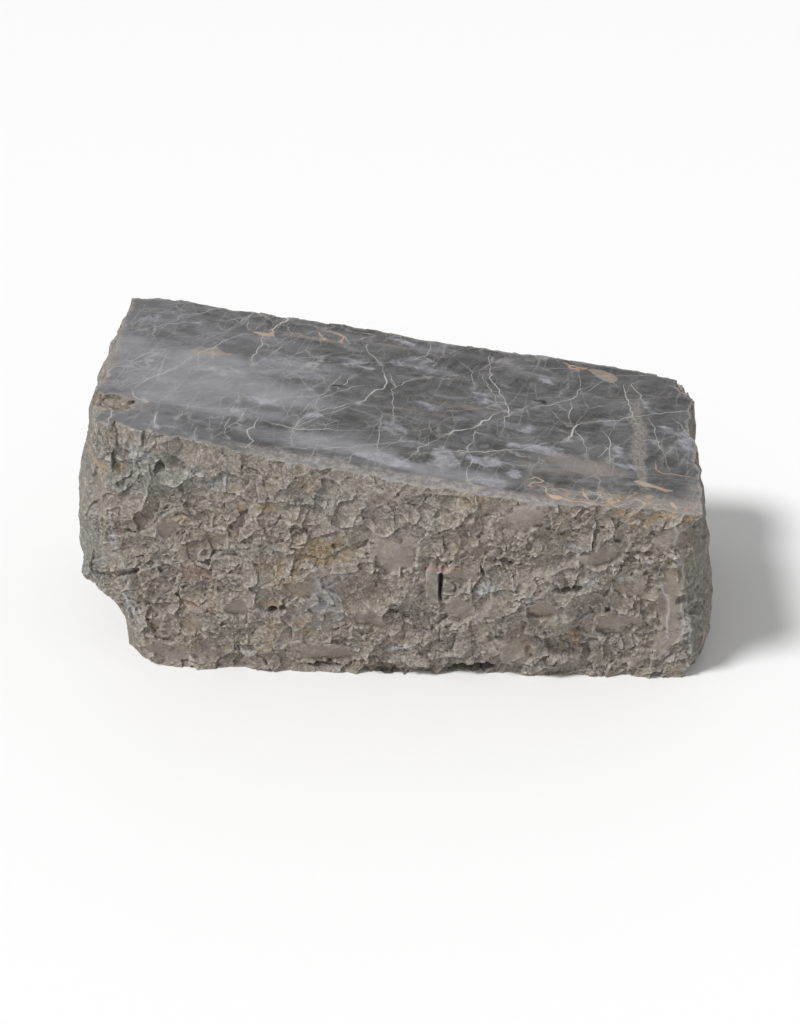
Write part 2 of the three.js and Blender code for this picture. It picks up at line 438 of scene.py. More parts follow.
# Seams on the split faces: half width, and points along and up the long side.
PALE_SEAMS = [
    (0.0055, [(0.98, 0.68), (0.99, 0.615), (0.985, 0.54), (1.02, 0.5), (1.03, 0.45), (1.03, 0.4)]),
    (0.005, [(0.955, 0.425), (0.98, 0.335), (0.99, 0.24), (0.99, 0.185)]),
    (0.005, [(1.02, 0.385), (1.035, 0.325), (1.045, 0.26), (1.035, 0.19), (1.01, 0.155)]),
    (0.006, [(1.05, 0.33), (1.06, 0.25), (1.075, 0.17), (1.08, 0.1)]),
    (0.0055, [(-1.0, 0.685), (-0.995, 0.59), (-0.98, 0.505), (-0.955, 0.415), (-0.94, 0.315),
              (-0.905, 0.2)]),
    (0.005, [(-0.92, 0.98), (-0.935, 0.92), (-0.96, 0.86)]),
]
ORANGE_SEAMS = [
    (0.006, [(-1.11, 0.84), (-1.06, 0.835), (-1.02, 0.825), (-0.985, 0.85)]),
    (0.0055, [(-1.06, 0.835), (-1.03, 0.81), (-1.01, 0.79)]),
    (0.0055, [(0.775, 0.735), (0.81, 0.72), (0.845, 0.72), (0.88, 0.69), (0.9, 0.68)]),
    (0.0055, [(0.825, 0.7), (0.845, 0.675), (0.87, 0.68), (0.9, 0.7), (0.93, 0.71), (0.975, 0.695)]),
    (0.006, [(1.0, 0.69), (1.03, 0.7), (1.06, 0.68), (1.09, 0.64)]),
]
SEAM_RISE = 0.0020          # the seams are hard and stand out this far


def seams(list_of_seams, place):
    """Share of the pale or orange seams at each point."""
    traced = [trace(points) for _, points in list_of_seams]
    widths = [np.full(len(line), half) for line, (half, _) in zip(traced, list_of_seams)]
    return share_of_lines(list(zip(traced, widths)), place[:, (0, 2)])


def raggedness(place):
    """Noise that tears the outline of a spall or a pit."""
    return 0.46 * noise(place, 0.045, 61) + 0.24 * noise(place, 0.018, 62)


def spall_share(place, ragged, spall):
    """1 inside the torn outline of a spall, 0 outside."""
    at_x, at_z, half_x, half_z = spall[:4]
    far = np.hypot((place[:, 0] - at_x) / half_x, (place[:, 2] - at_z) / half_z)
    return np.clip((1.0 - far - ragged) / 0.16, 0, 1)


def place_marks(place, outward, relief):
    """The relief with spalls, pits and the joint added on the front."""
    x, z = place[:, 0], place[:, 2]
    on_front = smooth_step(-outward[:, 1], 0.3, 0.6)
    ragged = raggedness(place)
    for spall in SPALLS:
        at_x, at_z, half_x, half_z, sink, lean_x, lean_z = spall
        share = spall_share(place, ragged, spall) * on_front
        face = -sink + lean_x * (x - at_x) * 0.5 - lean_z * (z - at_z) * 0.5
        relief = relief * (1 - share) + share * (face + SPALL_CALM * relief)
    for at_x, at_z, half_x, half_z, deep in PITS:
        far = np.hypot((x - at_x) / half_x, (z - at_z) / half_z) + ragged * 1.3
        relief = relief - deep * smooth_step(far, 1.1, 0.5) * on_front
    across = x - JOINT_AT - 0.008 * noise(place, 0.12, 63) - 0.003 * noise(place, 0.03, 64)
    foot, head = JOINT_SPAN
    along = smooth_step(z, foot, foot + 0.05) * smooth_step(z, head, head - 0.1)
    along = along * on_front * smooth_step(noise(place, 0.10, 65), -0.7, 0.0)
    behind = smooth_step(across, 0.0, 0.006) * smooth_step(across, 0.16, 0.03)
    groove = np.exp(-(across / GROOVE[0]) ** 2)
    relief += SEAM_RISE * (seams(PALE_SEAMS, place) + seams(ORANGE_SEAMS, place))
    return relief - along * (JOINT_STEP * behind + GROOVE[1] * groove)


place = of_vertices(skin, "co")
outward = of_vertices(skin, "normal")
relief = place_marks(place, outward, strike(place, outward))
place += outward * relief[:, None]
skin.vertices.foreach_set("co", place.ravel())
print("relief from", round(relief.min() * 1000, 1), "to", round(relief.max() * 1000, 1), "mm")

# %% [markdown]
# Most of these small faces lie on nearly flat plates and say nothing. Decimate takes those away
# first and keeps the sharp ridges, which also makes the plates look flat and broken.

# %% Keep the ridges, drop the idle faces
SIDE_TRIANGLES = 166000
thinner = stone.modifiers.new("thinner", "DECIMATE")
thinner.ratio = SIDE_TRIANGLES / (2 * len(skin.polygons))
skin = applied(stone)
print("after thinning:", len(skin.polygons), "faces")


def store(mesh, name, values):
    """Keeps one number for each vertex under a name, for the material to read."""
    layer = mesh.attributes.get(name) or mesh.attributes.new(name, "FLOAT", "POINT")
    layer.data.foreach_set("value", np.asarray(values, dtype=np.float32))


# %% [markdown]
# The saw comes next. The skin is cut along the two true planes, which leaves it open, with a
# ragged rim like the arris of the real block. Near the front the cut is then lowered a little to
# make the worn lip.

# %% Saw the top and the base
LIP_REACH = 0.12            # the skin under the lip is pressed down over this depth
sawn = bmesh.new()
sawn.from_mesh(skin)
cut(sawn, Vector(TOP_POINT), Vector(TOP_NORMAL))
cut(sawn, Vector((0, 0, 0)), Vector((0, 0, -1)))
for face in sawn.faces:
    face.smooth = True
rim = [e for e in sawn.edges if e.is_boundary]
base_rim = [e for e in rim if e.verts[0].co.z < 1e-5 and e.verts[1].co.z < 1e-5]
on_base = set(base_rim)
top_rim = [e for e in rim if e not in on_base]
for vert in sawn.verts:
    x, y, z = vert.co
    if z > top_height(x) - LIP_REACH:
        drop = top_height(x) - float(sawn_height(np.array(x), np.array(y)))
        vert.co.z -= drop * (1 - (top_height(x) - z) / LIP_REACH)
print("rim:", len(top_rim), "edges on the top,", len(base_rim), "on the base")

# %% [markdown]
# The veins are real outlines in the mesh of the sawn face, so they stay sharp at any distance.
# Each one is a few points that a smooth curve runs through. Along the curve lie three rows of
# vertices, a middle row and two edge rows, and a number on each vertex says how much of the vein
# is there: 1 in the middle, 0 at the edges. Patches of pale or orange filling are closed curves
# that work in the same way.

# %% The veins of the sawn face, in metres
# Each vein: its half width, and points on the sawn face.
VEINS = [
    (0.003, [(1.09, 0.28), (0.95, 0.21), (0.85, 0.15), (0.78, 0.1), (0.73, 0.09), (0.67, 0.05)]),
    (0.0046, [(0.67, 0.05), (0.64, 0.01), (0.62, -0.08), (0.58, -0.11)]),
    (0.0028, [(0.58, -0.11), (0.52, -0.14), (0.46, -0.2), (0.34, -0.25), (0.2, -0.3), (0.08, -0.35)]),
    (0.0022, [(0.74, 0.39), (0.66, 0.3), (0.64, 0.23), (0.52, 0.13), (0.44, 0.06), (0.38, 0.05)]),
    (0.0042, [(0.38, 0.05), (0.35, 0.02), (0.29, -0.08), (0.22, -0.14), (0.15, -0.21)]),
    (0.003, [(0.15, -0.21), (0.09, -0.3), (0.06, -0.37), (0.01, -0.45)]),
    (0.003, [(-0.13, 0.41), (-0.15, 0.38), (-0.11, 0.31), (-0.08, 0.26)]),
    (0.0042, [(-0.08, 0.26), (-0.06, 0.16), (-0.05, 0.12), (-0.09, 0.04), (-0.15, -0.07)]),
    (0.0024, [(-0.15, -0.07), (-0.25, -0.13), (-0.32, -0.21), (-0.35, -0.29)]),
    (0.0024, [(-0.07, 0.26), (-0.02, 0.12), (-0.03, 0.04), (-0.01, -0.15)]),
    (0.002, [(-0.19, 0.19), (-0.23, 0.1), (-0.26, 0.01), (-0.29, -0.05), (-0.4, -0.1), (-0.45, -0.15)]),
    (0.002, [(-0.11, 0.08), (-0.17, 0.05), (-0.27, -0.05), (-0.29, -0.12), (-0.28, -0.2)]),
    (0.0022, [(-1.01, 0.19), (-0.92, 0.28), (-0.81, 0.35), (-0.67, 0.42), (-0.55, 0.5)]),
    (0.0024, [(-0.88, 0.32), (-0.83, 0.4), (-0.79, 0.43), (-0.71, 0.5)]),
    (0.0024, [(-0.77, 0.08), (-0.69, 0.2), (-0.65, 0.27), (-0.6, 0.32), (-0.54, 0.36)]),
    (0.0024, [(-0.94, -0.21), (-0.87, -0.1), (-0.83, -0.04), (-0.79, 0.03), (-0.76, 0.1)]),
    (0.0024, [(-0.94, -0.21), (-0.92, -0.26), (-0.87, -0.28)]),
    (0.003, [(-0.82, -0.33), (-0.83, -0.37), (-0.82, -0.45)]),
    (0.0024, [(-0.73, -0.25), (-0.74, -0.31), (-0.76, -0.36)]),
    (0.0034, [(-0.53, 0.34), (-0.53, 0.25), (-0.55, 0.16), (-0.55, 0.11)]),
    (0.0042, [(-0.51, 0.37), (-0.49, 0.43), (-0.46, 0.48), (-0.44, 0.53)]),
    (0.002, [(-0.59, 0.47), (-0.59, 0.38), (-0.56, 0.37), (-0.54, 0.42), (-0.53, 0.48)]),
    (0.003, [(-0.58, -0.3), (-0.59, -0.4), (-0.57, -0.45)]),
    (0.003, [(-0.48, -0.25), (-0.49, -0.34), (-0.51, -0.37), (-0.49, -0.44), (-0.51, -0.48)]),
    (0.0022, [(0.04, -0.28), (-0.16, -0.38), (-0.26, -0.42), (-0.4, -0.45)]),
    (0.002, [(-0.48, -0.28), (-0.38, -0.31), (-0.31, -0.3)]),
    (0.003, [(0.32, 0.49), (0.33, 0.33), (0.33, 0.28), (0.36, 0.21), (0.4, 0.08), (0.39, 0.0),
             (0.37, -0.14)]),
    (0.0024, [(0.3, 0.31), (0.31, 0.24), (0.34, 0.18), (0.35, 0.08)]),
    (0.0024, [(-0.04, 0.17), (-0.02, 0.11), (0.02, 0.16), (0.09, 0.21)]),
    (0.0028, [(0.02, 0.31), (0.05, 0.35), (0.09, 0.4), (0.1, 0.46), (0.09, 0.51)]),
    (0.0024, [(0.92, 0.18), (0.94, 0.11), (0.94, 0.05), (0.93, -0.01)]),
    (0.0022, [(0.63, 0.22), (0.63, 0.11), (0.62, 0.06), (0.64, 0.01)]),
    (0.0024, [(0.64, 0.01), (0.66, -0.05), (0.68, -0.12), (0.68, -0.19)]),
    (0.0024, [(0.74, 0.04), (0.76, -0.03), (0.77, -0.1), (0.76, -0.21)]),
    (0.0024, [(0.71, -0.19), (0.74, -0.14), (0.77, -0.1)]),
    (0.0028, [(0.89, -0.01), (0.94, 0.0), (0.96, -0.06), (0.98, -0.08), (1.0, -0.03)]),
    (0.0024, [(1.01, 0.2), (1.05, 0.13), (1.08, 0.05)]),
    (0.0024, [(0.29, -0.09), (0.27, -0.21), (0.25, -0.28), (0.22, -0.32)]),
    (0.003, [(0.25, -0.28), (0.27, -0.34), (0.26, -0.43), (0.26, -0.5)]),
    (0.003, [(0.91, 0.47), (0.87, 0.41), (0.89, 0.35), (0.91, 0.28)]),
    (0.0028, [(0.85, 0.43), (0.84, 0.35), (0.86, 0.24), (0.86, 0.15), (0.88, 0.11), (0.89, 0.04)]),
    (0.003, [(-0.975, -0.36), (-0.975, -0.42), (-0.985, -0.5)]),
    (0.0022, [(-1.05, -0.18), (-1.02, -0.08), (-0.955, -0.045)]),
    (0.0022, [(-0.075, -0.24), (-0.21, -0.275), (-0.315, -0.305), (-0.4, -0.31), (-0.475, -0.275)]),
    (0.002, [(-0.305, -0.205), (-0.355, -0.315), (-0.345, -0.44)]),
    (0.002, [(-0.155, -0.08), (-0.27, -0.195), (-0.345, -0.295)]),
    (0.0018, [(-0.375, 0.075), (-0.32, -0.02)]),
    (0.002, [(-0.435, 0.325), (-0.48, 0.205), (-0.52, 0.12)]),
    (0.0018, [(-0.575, -0.18), (-0.58, -0.26)]),
    (0.0018, [(-0.565, -0.13), (-0.56, -0.24)]),
    (0.002, [(-0.055, -0.095), (-0.06, -0.295), (-0.055, -0.41)]),
    (0.002, [(-0.245, -0.03), (-0.205, 0.065), (-0.17, 0.145)]),
    (0.0018, [(-0.675, -0.4), (-0.68, -0.485)]),
    (0.0018, [(-0.64, -0.31), (-0.645, -0.405)]),
    (0.0018, [(-0.545, -0.235), (-0.545, -0.31)]),
    (0.0019, [(0.22, 0.05), (0.3, 0.09), (0.39, 0.11)]),
    (0.0019, [(0.55, 0.13), (0.58, 0.06), (0.62, 0.01)]),
    (0.0019, [(0.2, 0.4), (0.26, 0.3), (0.27, 0.18)]),
]
# Thin orange fillings, in the same form.
OCHRE_LINES = [
    (0.003, [(-0.785, 0.1), (-0.74, 0.12), (-0.695, 0.135), (-0.64, 0.145)]),
    (0.0065, [(-0.335, 0.45), (-0.3, 0.455), (-0.265, 0.46), (-0.225, 0.425), (-0.235, 0.395)]),
    (0.0065, [(-0.335, 0.45), (-0.32, 0.425), (-0.3, 0.39)]),
    (0.005, [(0.47, -0.415), (0.49, -0.39), (0.525, -0.395), (0.515, -0.42), (0.49, -0.415),
             (0.475, -0.44)]),
    (0.006, [(0.495, -0.435), (0.525, -0.445), (0.535, -0.48), (0.555, -0.505), (0.585, -0.5), (0.61, -0.505),
              (0.65, -0.5), (0.68, -0.51), (0.72, -0.505)]),
    (0.0035, [(0.68, -0.48), (0.7, -0.48), (0.72, -0.445), (0.725, -0.405)]),
    (0.003, [(0.745, -0.41), (0.755, -0.435), (0.76, -0.465)]),
    (0.0035, [(0.785, -0.395), (0.79, -0.435), (0.82, -0.43), (0.85, -0.39)]),
    (0.004, [(0.93, -0.135), (0.925, -0.195), (0.945, -0.22), (0.99, -0.215), (1.02, -0.225),
             (1.075, -0.22)]),
    (0.005, [(0.6, 0.51), (0.625, 0.49), (0.66, 0.485), (0.7, 0.49)]),
    (0.005, [(0.62, 0.5), (0.64, 0.465), (0.665, 0.465)]),
    (0.003, [(0.72, -0.49), (0.745, -0.46), (0.78, -0.455), (0.8, -0.475), (0.775, -0.49), (0.74, -0.5)]),
    (0.003, [(0.805, -0.475), (0.82, -0.45), (0.855, -0.435), (0.875, -0.455), (0.855, -0.485),
             (0.82, -0.495)]),
    (0.0035, [(0.985, -0.43), (1.01, -0.46), (1.04, -0.45), (1.06, -0.4)]),
]
# Thin black slits where the stone is open.
SLITS = [
    (0.0045, [(-0.25, 0.035), (-0.235, 0.04), (-0.215, 0.045)]),
    (0.006, [(0.49, 0.16), (0.505, 0.165), (0.525, 0.17)]),
]
# Wider pale or orange patches: how orange they are, and a closed outline.
PATCHES = [
    (0.55, [(-0.57, 0.365), (-0.535, 0.365), (-0.51, 0.37), (-0.495, 0.41), (-0.485, 0.385), (-0.485, 0.345),
            (-0.515, 0.335), (-0.55, 0.345)]),
    (0.0, [(-0.775, 0.125), (-0.75, 0.18), (-0.715, 0.18), (-0.685, 0.2), (-0.66, 0.17), (-0.64, 0.15),
            (-0.655, 0.125), (-0.705, 0.12), (-0.745, 0.11)]),
    (0.95, [(0.535, -0.48), (0.55, -0.485), (0.58, -0.485), (0.59, -0.495), (0.58, -0.51), (0.55, -0.51)]),
    (0.9, [(0.655, -0.43), (0.67, -0.44), (0.68, -0.47), (0.67, -0.48), (0.66, -0.455)]),
    (0.45, [(0.84, -0.31), (0.865, -0.295), (0.895, -0.305), (0.925, -0.315), (0.98, -0.33), (0.96, -0.345),
            (0.92, -0.34), (0.87, -0.33)]),
    (0.35, [(0.88, -0.405), (0.9, -0.385), (0.915, -0.395), (0.895, -0.42)]),
    (0.1, [(0.705, 0.475), (0.74, 0.495), (0.79, 0.48), (0.82, 0.44), (0.795, 0.4), (0.755, 0.41)]),
    (0.8, [(0.965, -0.41), (0.985, -0.42), (0.995, -0.455), (0.975, -0.445)]),
]
PATCH_EDGE = 0.004          # a patch fades in over this distance
print(len(VEINS), "veins,", len(OCHRE_LINES), "orange lines,", len(PATCHES), "patches")

# %% [markdown]
# Filling the face takes three small tools: steps to the side of a line, for the edge rows, the
# distance from points to a line, and a test for which points lie inside an outline.

# %% Tools for outlines


def sideways(line, closed=False):
    """Unit steps at right angles to a line, one for each of its points."""
    if closed:
        ahead = np.roll(line, -1, axis=0) - np.roll(line, 1, axis=0)
    else:
        ahead = np.gradient(line, axis=0)
    ahead /= np.maximum(np.hypot(*ahead.T), 1e-9)[:, None]
    return np.column_stack([-ahead[:, 1], ahead[:, 0]])


def distance_to_line(points, line):
    """Distance from each point to the nearest place on a line of short stretches."""
    best = np.full(len(points), 9.0)
    for start, end in zip(line[:-1], line[1:]):
        best = np.minimum(best, gap_to_stretch(points, start, end))
    return best


def inside(points, edges):
    """True for each point inside the outline that the edges make, by counting crossings."""
    found = np.zeros(len(points), dtype=bool)
    for (x0, y0), (x1, y1) in edges:
        crosses = (y0 > points[:, 1]) != (y1 > points[:, 1])
        reach = x0 + (points[:, 1] - y0) / ((y1 - y0) or 1e-12) * (x1 - x0)
        found ^= crosses & (points[:, 0] < reach)
    return found


UNIT_SQUARE = [((0, 0), (1, 0)), ((1, 0), (1, 1)), ((1, 1), (0, 1)), ((0, 1), (0, 0))]
print("inside a unit square:", inside(np.array([(0.5, 0.5), (1.5, 0.5)]), UNIT_SQUARE))

# %% [markdown]
# The open top is now filled. All rows of points go into one plan, together with the rim and a
# loose grid for the plain stone between them, and a Delaunay triangulation joins them without
# crossing any of the rows. A plain fill would be simpler, but it would leave no vertices for the
# veins. The rim's own vertices are used again, so the stone ends as one closed skin.

# %% Fill the sawn face
RIM_CLEAR = 0.006           # no point of a row lies nearer to the rim than this
GRID = 0.016                # spacing of the points between the veins
LIP_ROWS = (-0.030, -0.014, -0.006, 0.0, 0.007, 0.016, 0.030)   # rows on both sides of its line
LIP_ROW_STEP = 0.03

rim_verts = list({v for e in top_rim for v in e.verts})
rim_number = {v: i for i, v in enumerate(rim_verts)}
rim_points = np.array([v.co.xy for v in rim_verts])
rim_edges = [(rim_number[e.verts[0]], rim_number[e.verts[1]]) for e in top_rim]
rim_lines = [(rim_points[a], rim_points[b]) for a, b in rim_edges]


def nearest_gap(points, others):
    """Distance from each point to the nearest of the others, in blocks to spare memory."""
    blocks = [points[i:i + 500] for i in range(0, len(points), 500)]
    return np.concatenate([np.hypot(*(block[:, None] - others[None]).transpose(2, 0, 1)).min(axis=1)
                           for block in blocks])


class Plan:
    """Points of the sawn face and the edges that must be kept between them."""

    def __init__(self, points, edges):
        self.points = [points]
        self.edges = list(edges)
        self.count = len(points)

    def add_row(self, row, closed=False):
        keep = inside(row, rim_lines) & (nearest_gap(row, rim_points) > RIM_CLEAR)
        index = np.cumsum(keep) - 1 + self.count
        for i in range(len(row) if closed else len(row) - 1):
            j = (i + 1) % len(row)
            if keep[i] and keep[j]:
                self.edges.append((int(index[i]), int(index[j])))
        self.points.append(row[keep])
        self.count += int(keep.sum())


plan = Plan(rim_points, rim_edges)
vein_lines = []
for half, points in VEINS + OCHRE_LINES + SLITS:
    line = trace(points)
    width = half * (0.85 + 0.40 * noise(flat(line), 0.05, 3))
    width *= 1 - 0.85 * np.abs(np.linspace(-1, 1, len(line))) ** 4
    vein_lines.append((line, width))
    for side in (0, 1, -1):
        plan.add_row(line + side * sideways(line) * width[:, None])
slit_lines = vein_lines[-len(SLITS):]
ochre_lines = vein_lines[len(VEINS):-len(SLITS)]
vein_lines = vein_lines[:len(VEINS)]
patch_lines = [(orange, smooth_curve(points, 0.012, closed=True)) for orange, points in PATCHES]
for orange, line in patch_lines:
    line += 0.006 * np.stack([noise(flat(line), 0.02, 12), noise(flat(line), 0.02, 13)], axis=1)
    plan.add_row(line, closed=True)
    plan.add_row(line - sideways(line, closed=True) * PATCH_EDGE, closed=True)
for across in LIP_ROWS:
    x = np.arange(LIP_ENDS[0], LIP_ENDS[1] + 0.06, LIP_ROW_STEP)
    plan.add_row(np.column_stack([x, LIP_START + math.tan(LIP_TURN) * x - across]))

low, high = rim_points.min(axis=0), rim_points.max(axis=0)
grid = np.meshgrid(np.arange(low[0], high[0], GRID), np.arange(low[1], high[1], GRID))
grid = np.stack(grid, axis=-1)
grid[::2, :, 0] += GRID / 2
grid = grid.reshape(-1, 2)
grid += 0.3 * GRID * np.stack([scatter(flat(grid / GRID), 21), scatter(flat(grid / GRID), 22)], axis=1)
grid = grid[nearest_gap(grid, np.concatenate(plan.points)) > 0.45 * GRID]
grid = grid[inside(grid, rim_lines)]
plan.points.append(grid)

made_points, made_edges, made_faces, from_point, *_ = delaunay_2d_cdt(
    [Vector(p) for p in np.concatenate(plan.points)], plan.edges, [], 0, 1e-6, True)
made = np.array([p[:] for p in made_points])
middles = np.array([np.mean([made[i] for i in face], axis=0) for face in made_faces])
wanted = inside(middles, rim_lines)
heights = sawn_height(made[:, 0], made[:, 1])
corner = []
for point, height, sources in zip(made, heights, from_point):
    own = [i for i in sources if i < len(rim_verts)]
    corner.append(rim_verts[own[0]] if own else sawn.verts.new((*point, float(height))))
SPLIT, SAWN = 0, 1
for face, keep in zip(made_faces, wanted):
    if keep:
        new = sawn.faces.new([corner[i] for i in face])
        new.material_index = SAWN
        new.smooth = True
bmesh.ops.delete(sawn, geom=[v for v in sawn.verts if not v.link_faces], context="VERTS")
bmesh.ops.triangle_fill(sawn, use_beauty=True, use_dissolve=False, edges=base_rim,
                        normal=(0, 0, -1))
bmesh.ops.recalc_face_normals(sawn, faces=sawn.faces)
open_edges = sum(not e.is_manifold for e in sawn.edges)
print("sawn face:", int(wanted.sum()), "triangles; edges left open:", open_edges)
sawn.to_mesh(stone.data)
sawn.free()

# %% [markdown]
# The material needs to know where things are, so each vertex now gets a few numbers: how much of a vein, of
# an orange filling or of a pale patch lies there, and how sharply the skin bends. A ridge that sticks out is
# bruised and pale, and a fold that lies deep is painted darker, as painted shade in the crease. The bend is
# the average lift of a vertex above its neighbours.

# %% Mark veins and patches on the vertices
skin = stone.data
place = of_vertices(skin, "co")
outward = of_vertices(skin, "normal")
NEAR_TOP = 0.004
near_top = sawn_height(place[:, 0], place[:, 1]) - place[:, 2] < NEAR_TOP
spot = place[near_top, :2]
vein = share_of_lines(vein_lines, spot)
ochre = share_of_lines(ochre_lines, spot)
slit = share_of_lines(slit_lines, spot)
patch = np.zeros(len(spot))
for orange, line in patch_lines:
    ring = np.concatenate([line, line[:1]])
    within = inside(spot, list(zip(ring[:-1], ring[1:])))
    filling = np.where(within, np.clip(distance_to_line(spot, ring) / PATCH_EDGE, 0, 1), 0)
    patch = np.maximum(patch, filling)
    ochre = np.maximum(ochre, filling * orange)


def on_whole(values):
    """Numbers of the sawn face's vertices, with 0 for all the others."""
    whole = np.zeros(len(place))
    whole[near_top] = values
    return whole


def bends(mesh, place, outward):
    """How far each vertex stands out from its neighbours, as a slope, smoothed once."""
    ends = np.empty(len(mesh.edges) * 2, dtype=np.int32)
    mesh.edges.foreach_get("vertices", ends)
    a, b = ends.reshape(-1, 2).T
    run = place[b] - place[a]
    run /= np.maximum(np.linalg.norm(run, axis=1), 1e-9)[:, None]
    count = np.bincount(a, minlength=len(place)) + np.bincount(b, minlength=len(place))
    lift = np.bincount(a, -(run * outward[a]).sum(axis=1), len(place))
    lift += np.bincount(b, (run * outward[b]).sum(axis=1), len(place))
    lift /= count
    around = np.bincount(a, lift[b], len(place)) + np.bincount(b, lift[a], len(place))
    return 0.65 * lift + 0.35 * around / count


bend = bends(skin, place, outward)
print("bend: 5, 50 and 95 in a hundred lie below", np.round(np.percentile(bend, (5, 50, 95)), 3))

# %% [markdown]
# Stone is coloured by what went through it: iron makes it orange, fine dust makes it dull, and frosty lime
# dries on it. Where these lie is given as soft ellipses on the front and on the top. They say only where a
# colour may be: the material later tears their outlines, so nothing round is left to see. A painted image
# could do this too, but it would be tied to one model.
# Near-black spots also paint shadow into the pits, the slot by the joint and the hollows along the foot.

# %% Colour spots, in metres
# Each spot on the long side: along, up, half width, half height, strength.
OCHRE_SPOTS = [
    (-0.27, 0.57, 0.1, 0.07, 0.75), (0.655, 0.17, 0.02, 0.055, 1.0), (-0.43, 0.74, 0.05, 0.015, 0.5),
    (-0.4, 0.47, 0.1, 0.06, 0.45), (-0.43, 0.32, 0.05, 0.03, 0.6), (0.98, 0.72, 0.12, 0.02, 0.4),
    (-0.35, 0.22, 0.1, 0.05, 0.35), (0.25, 0.62, 0.1, 0.06, 0.3), (-0.75, 0.66, 0.05, 0.03, 0.5),
    (-0.95, 0.86, 0.02, 0.02, 0.9), (-0.52, 0.72, 0.03, 0.03, 0.5),
]
PINK_SPOTS = [
    (-0.7, 0.44, 0.1, 0.05, 0.65), (0.18, 0.5, 0.07, 0.018, 0.9), (-0.5, 0.66, 0.09, 0.04, 0.4),
    (-0.72, 0.3, 0.08, 0.03, 0.5), (-0.45, 0.5, 0.03, 0.02, 0.7),
]
FROST_SPOTS = [
    (-0.7, 0.36, 0.03, 0.03, 0.4), (-0.24, 0.4, 0.05, 0.05, 0.8), (-0.25, 0.32, 0.07, 0.04, 0.9),
    (-0.2, 0.27, 0.03, 0.04, 0.6), (0.33, 0.42, 0.07, 0.05, 0.6), (-0.96, 0.25, 0.03, 0.16, 0.7),
    (0.02, 0.12, 0.08, 0.03, 0.5), (0.68, 0.3, 0.06, 0.02, 0.5), (-0.92, 0.9, 0.1, 0.05, 0.6),
    (1.0, 0.12, 0.04, 0.05, 0.3), (-0.62, 0.84, 0.1, 0.04, 0.5), (-1.0, 0.55, 0.02, 0.1, 0.5),
    (-0.13, 0.12, 0.05, 0.03, 0.5), (0.9, 0.5, 0.06, 0.03, 0.4),
    (0.7, 0.46, 0.04, 0.03, 0.6), (0.84, 0.45, 0.05, 0.02, 0.7), (0.49, 0.38, 0.02, 0.05, 0.6),
    (0.62, 0.6, 0.06, 0.03, 0.4), (-0.4, 0.14, 0.1, 0.03, 0.5), (-0.55, 0.1, 0.08, 0.03, 0.5),
]
GREY_SPOTS = [
    (-0.92, 0.86, 0.24, 0.11, 1.0), (-0.66, 0.84, 0.16, 0.07, 0.8), (-1.12, 0.45, 0.1, 0.5, 1.0),
    (0.62, 0.05, 0.3, 0.04, 0.4), (1.1, 0.35, 0.06, 0.4, 0.8), (-0.3, 0.78, 0.2, 0.05, 0.6),
]
# Painted shadow: near-black spots in the pits, the slot by the joint and the hollows along the foot.
HOLLOW_SHADOW_SPOTS = [
    (0.27, 0.03, 0.1, 0.022, 1.0), (0.169, 0.41, 0.006, 0.06, 1.0), (0.58, 0.065, 0.06, 0.008, 0.9),
    (-0.02, 0.01, 0.05, 0.02, 0.9), (0.7, 0.15, 0.01, 0.035, 0.7),
    (-0.25, 0.03, 0.08, 0.01, 0.6), (0.66, 0.225, 0.03, 0.01, 0.8), (-0.43, 0.29, 0.016, 0.012, 0.9),
    (1.03, 0.35, 0.015, 0.02, 0.6), (-0.62, 0.06, 0.04, 0.02, 0.5), (0.62, 0.425, 0.03, 0.008, 0.6),
]
# Each cloud on the sawn face: along, across, half length, half width, strength.
CLOUDS = [
    (0.49, -0.18, 0.1, 0.025, 0.9), (0.57, -0.2, 0.05, 0.04, 0.7), (0.31, -0.33, 0.08, 0.035, 1.0),
    (0.17, -0.36, 0.05, 0.09, 1.0), (0.34, -0.47, 0.07, 0.03, 0.9), (0.79, -0.11, 0.03, 0.05, 0.9),
    (0.83, -0.21, 0.06, 0.02, 0.8), (1.02, 0.1, 0.06, 0.03, 0.6), (0.94, 0.24, 0.04, 0.03, 0.6),
    (0.1, -0.01, 0.06, 0.03, 0.6), (0.42, -0.39, 0.03, 0.04, 0.8), (0.31, 0.13, 0.05, 0.05, 0.7),
    (0.54, 0.34, 0.04, 0.03, 0.7), (0.06, 0.3, 0.1, 0.05, 0.7), (1.06, 0.02, 0.06, 0.05, 0.7),
    (0.43, -0.05, 0.08, 0.03, 0.4), (0.01, 0.46, 0.12, 0.03, 0.4), (-0.48, -0.14, 0.05, 0.05, 0.8),
    (-0.3, -0.2, 0.04, 0.04, 0.8), (-0.17, 0.23, 0.06, 0.04, 0.7), (-0.41, 0.16, 0.08, 0.04, 0.5),
    (-0.02, -0.2, 0.06, 0.04, 0.6), (-0.02, -0.42, 0.1, 0.04, 1.0), (-0.66, 0.03, 0.1, 0.05, 0.5),
    (0.76, 0.27, 0.04, 0.02, 0.4), (0.28, -0.14, 0.12, 0.02, 0.5),
]
HAZE = [
    (-0.85, 0.0, 0.52, 0.75, 0.4),
    (-0.72, -0.12, 0.36, 0.12, 0.9), (-0.8, -0.02, 0.3, 0.1, 0.9), (-0.35, -0.05, 0.2, 0.1, 0.5),
    (-0.75, 0.05, 0.3, 0.12, 1.0), (-0.55, -0.08, 0.35, 0.12, 0.9), (-0.85, -0.2, 0.22, 0.1, 0.9),
    (-0.4, 0.12, 0.25, 0.1, 0.6), (-0.98, 0.08, 0.1, 0.12, 1.0), (-0.25, -0.38, 0.3, 0.06, 0.8),
    (0.15, -0.45, 0.3, 0.05, 0.8), (-0.62, -0.25, 0.25, 0.05, 0.8), (-0.5, 0.3, 0.2, 0.06, 0.5),
]
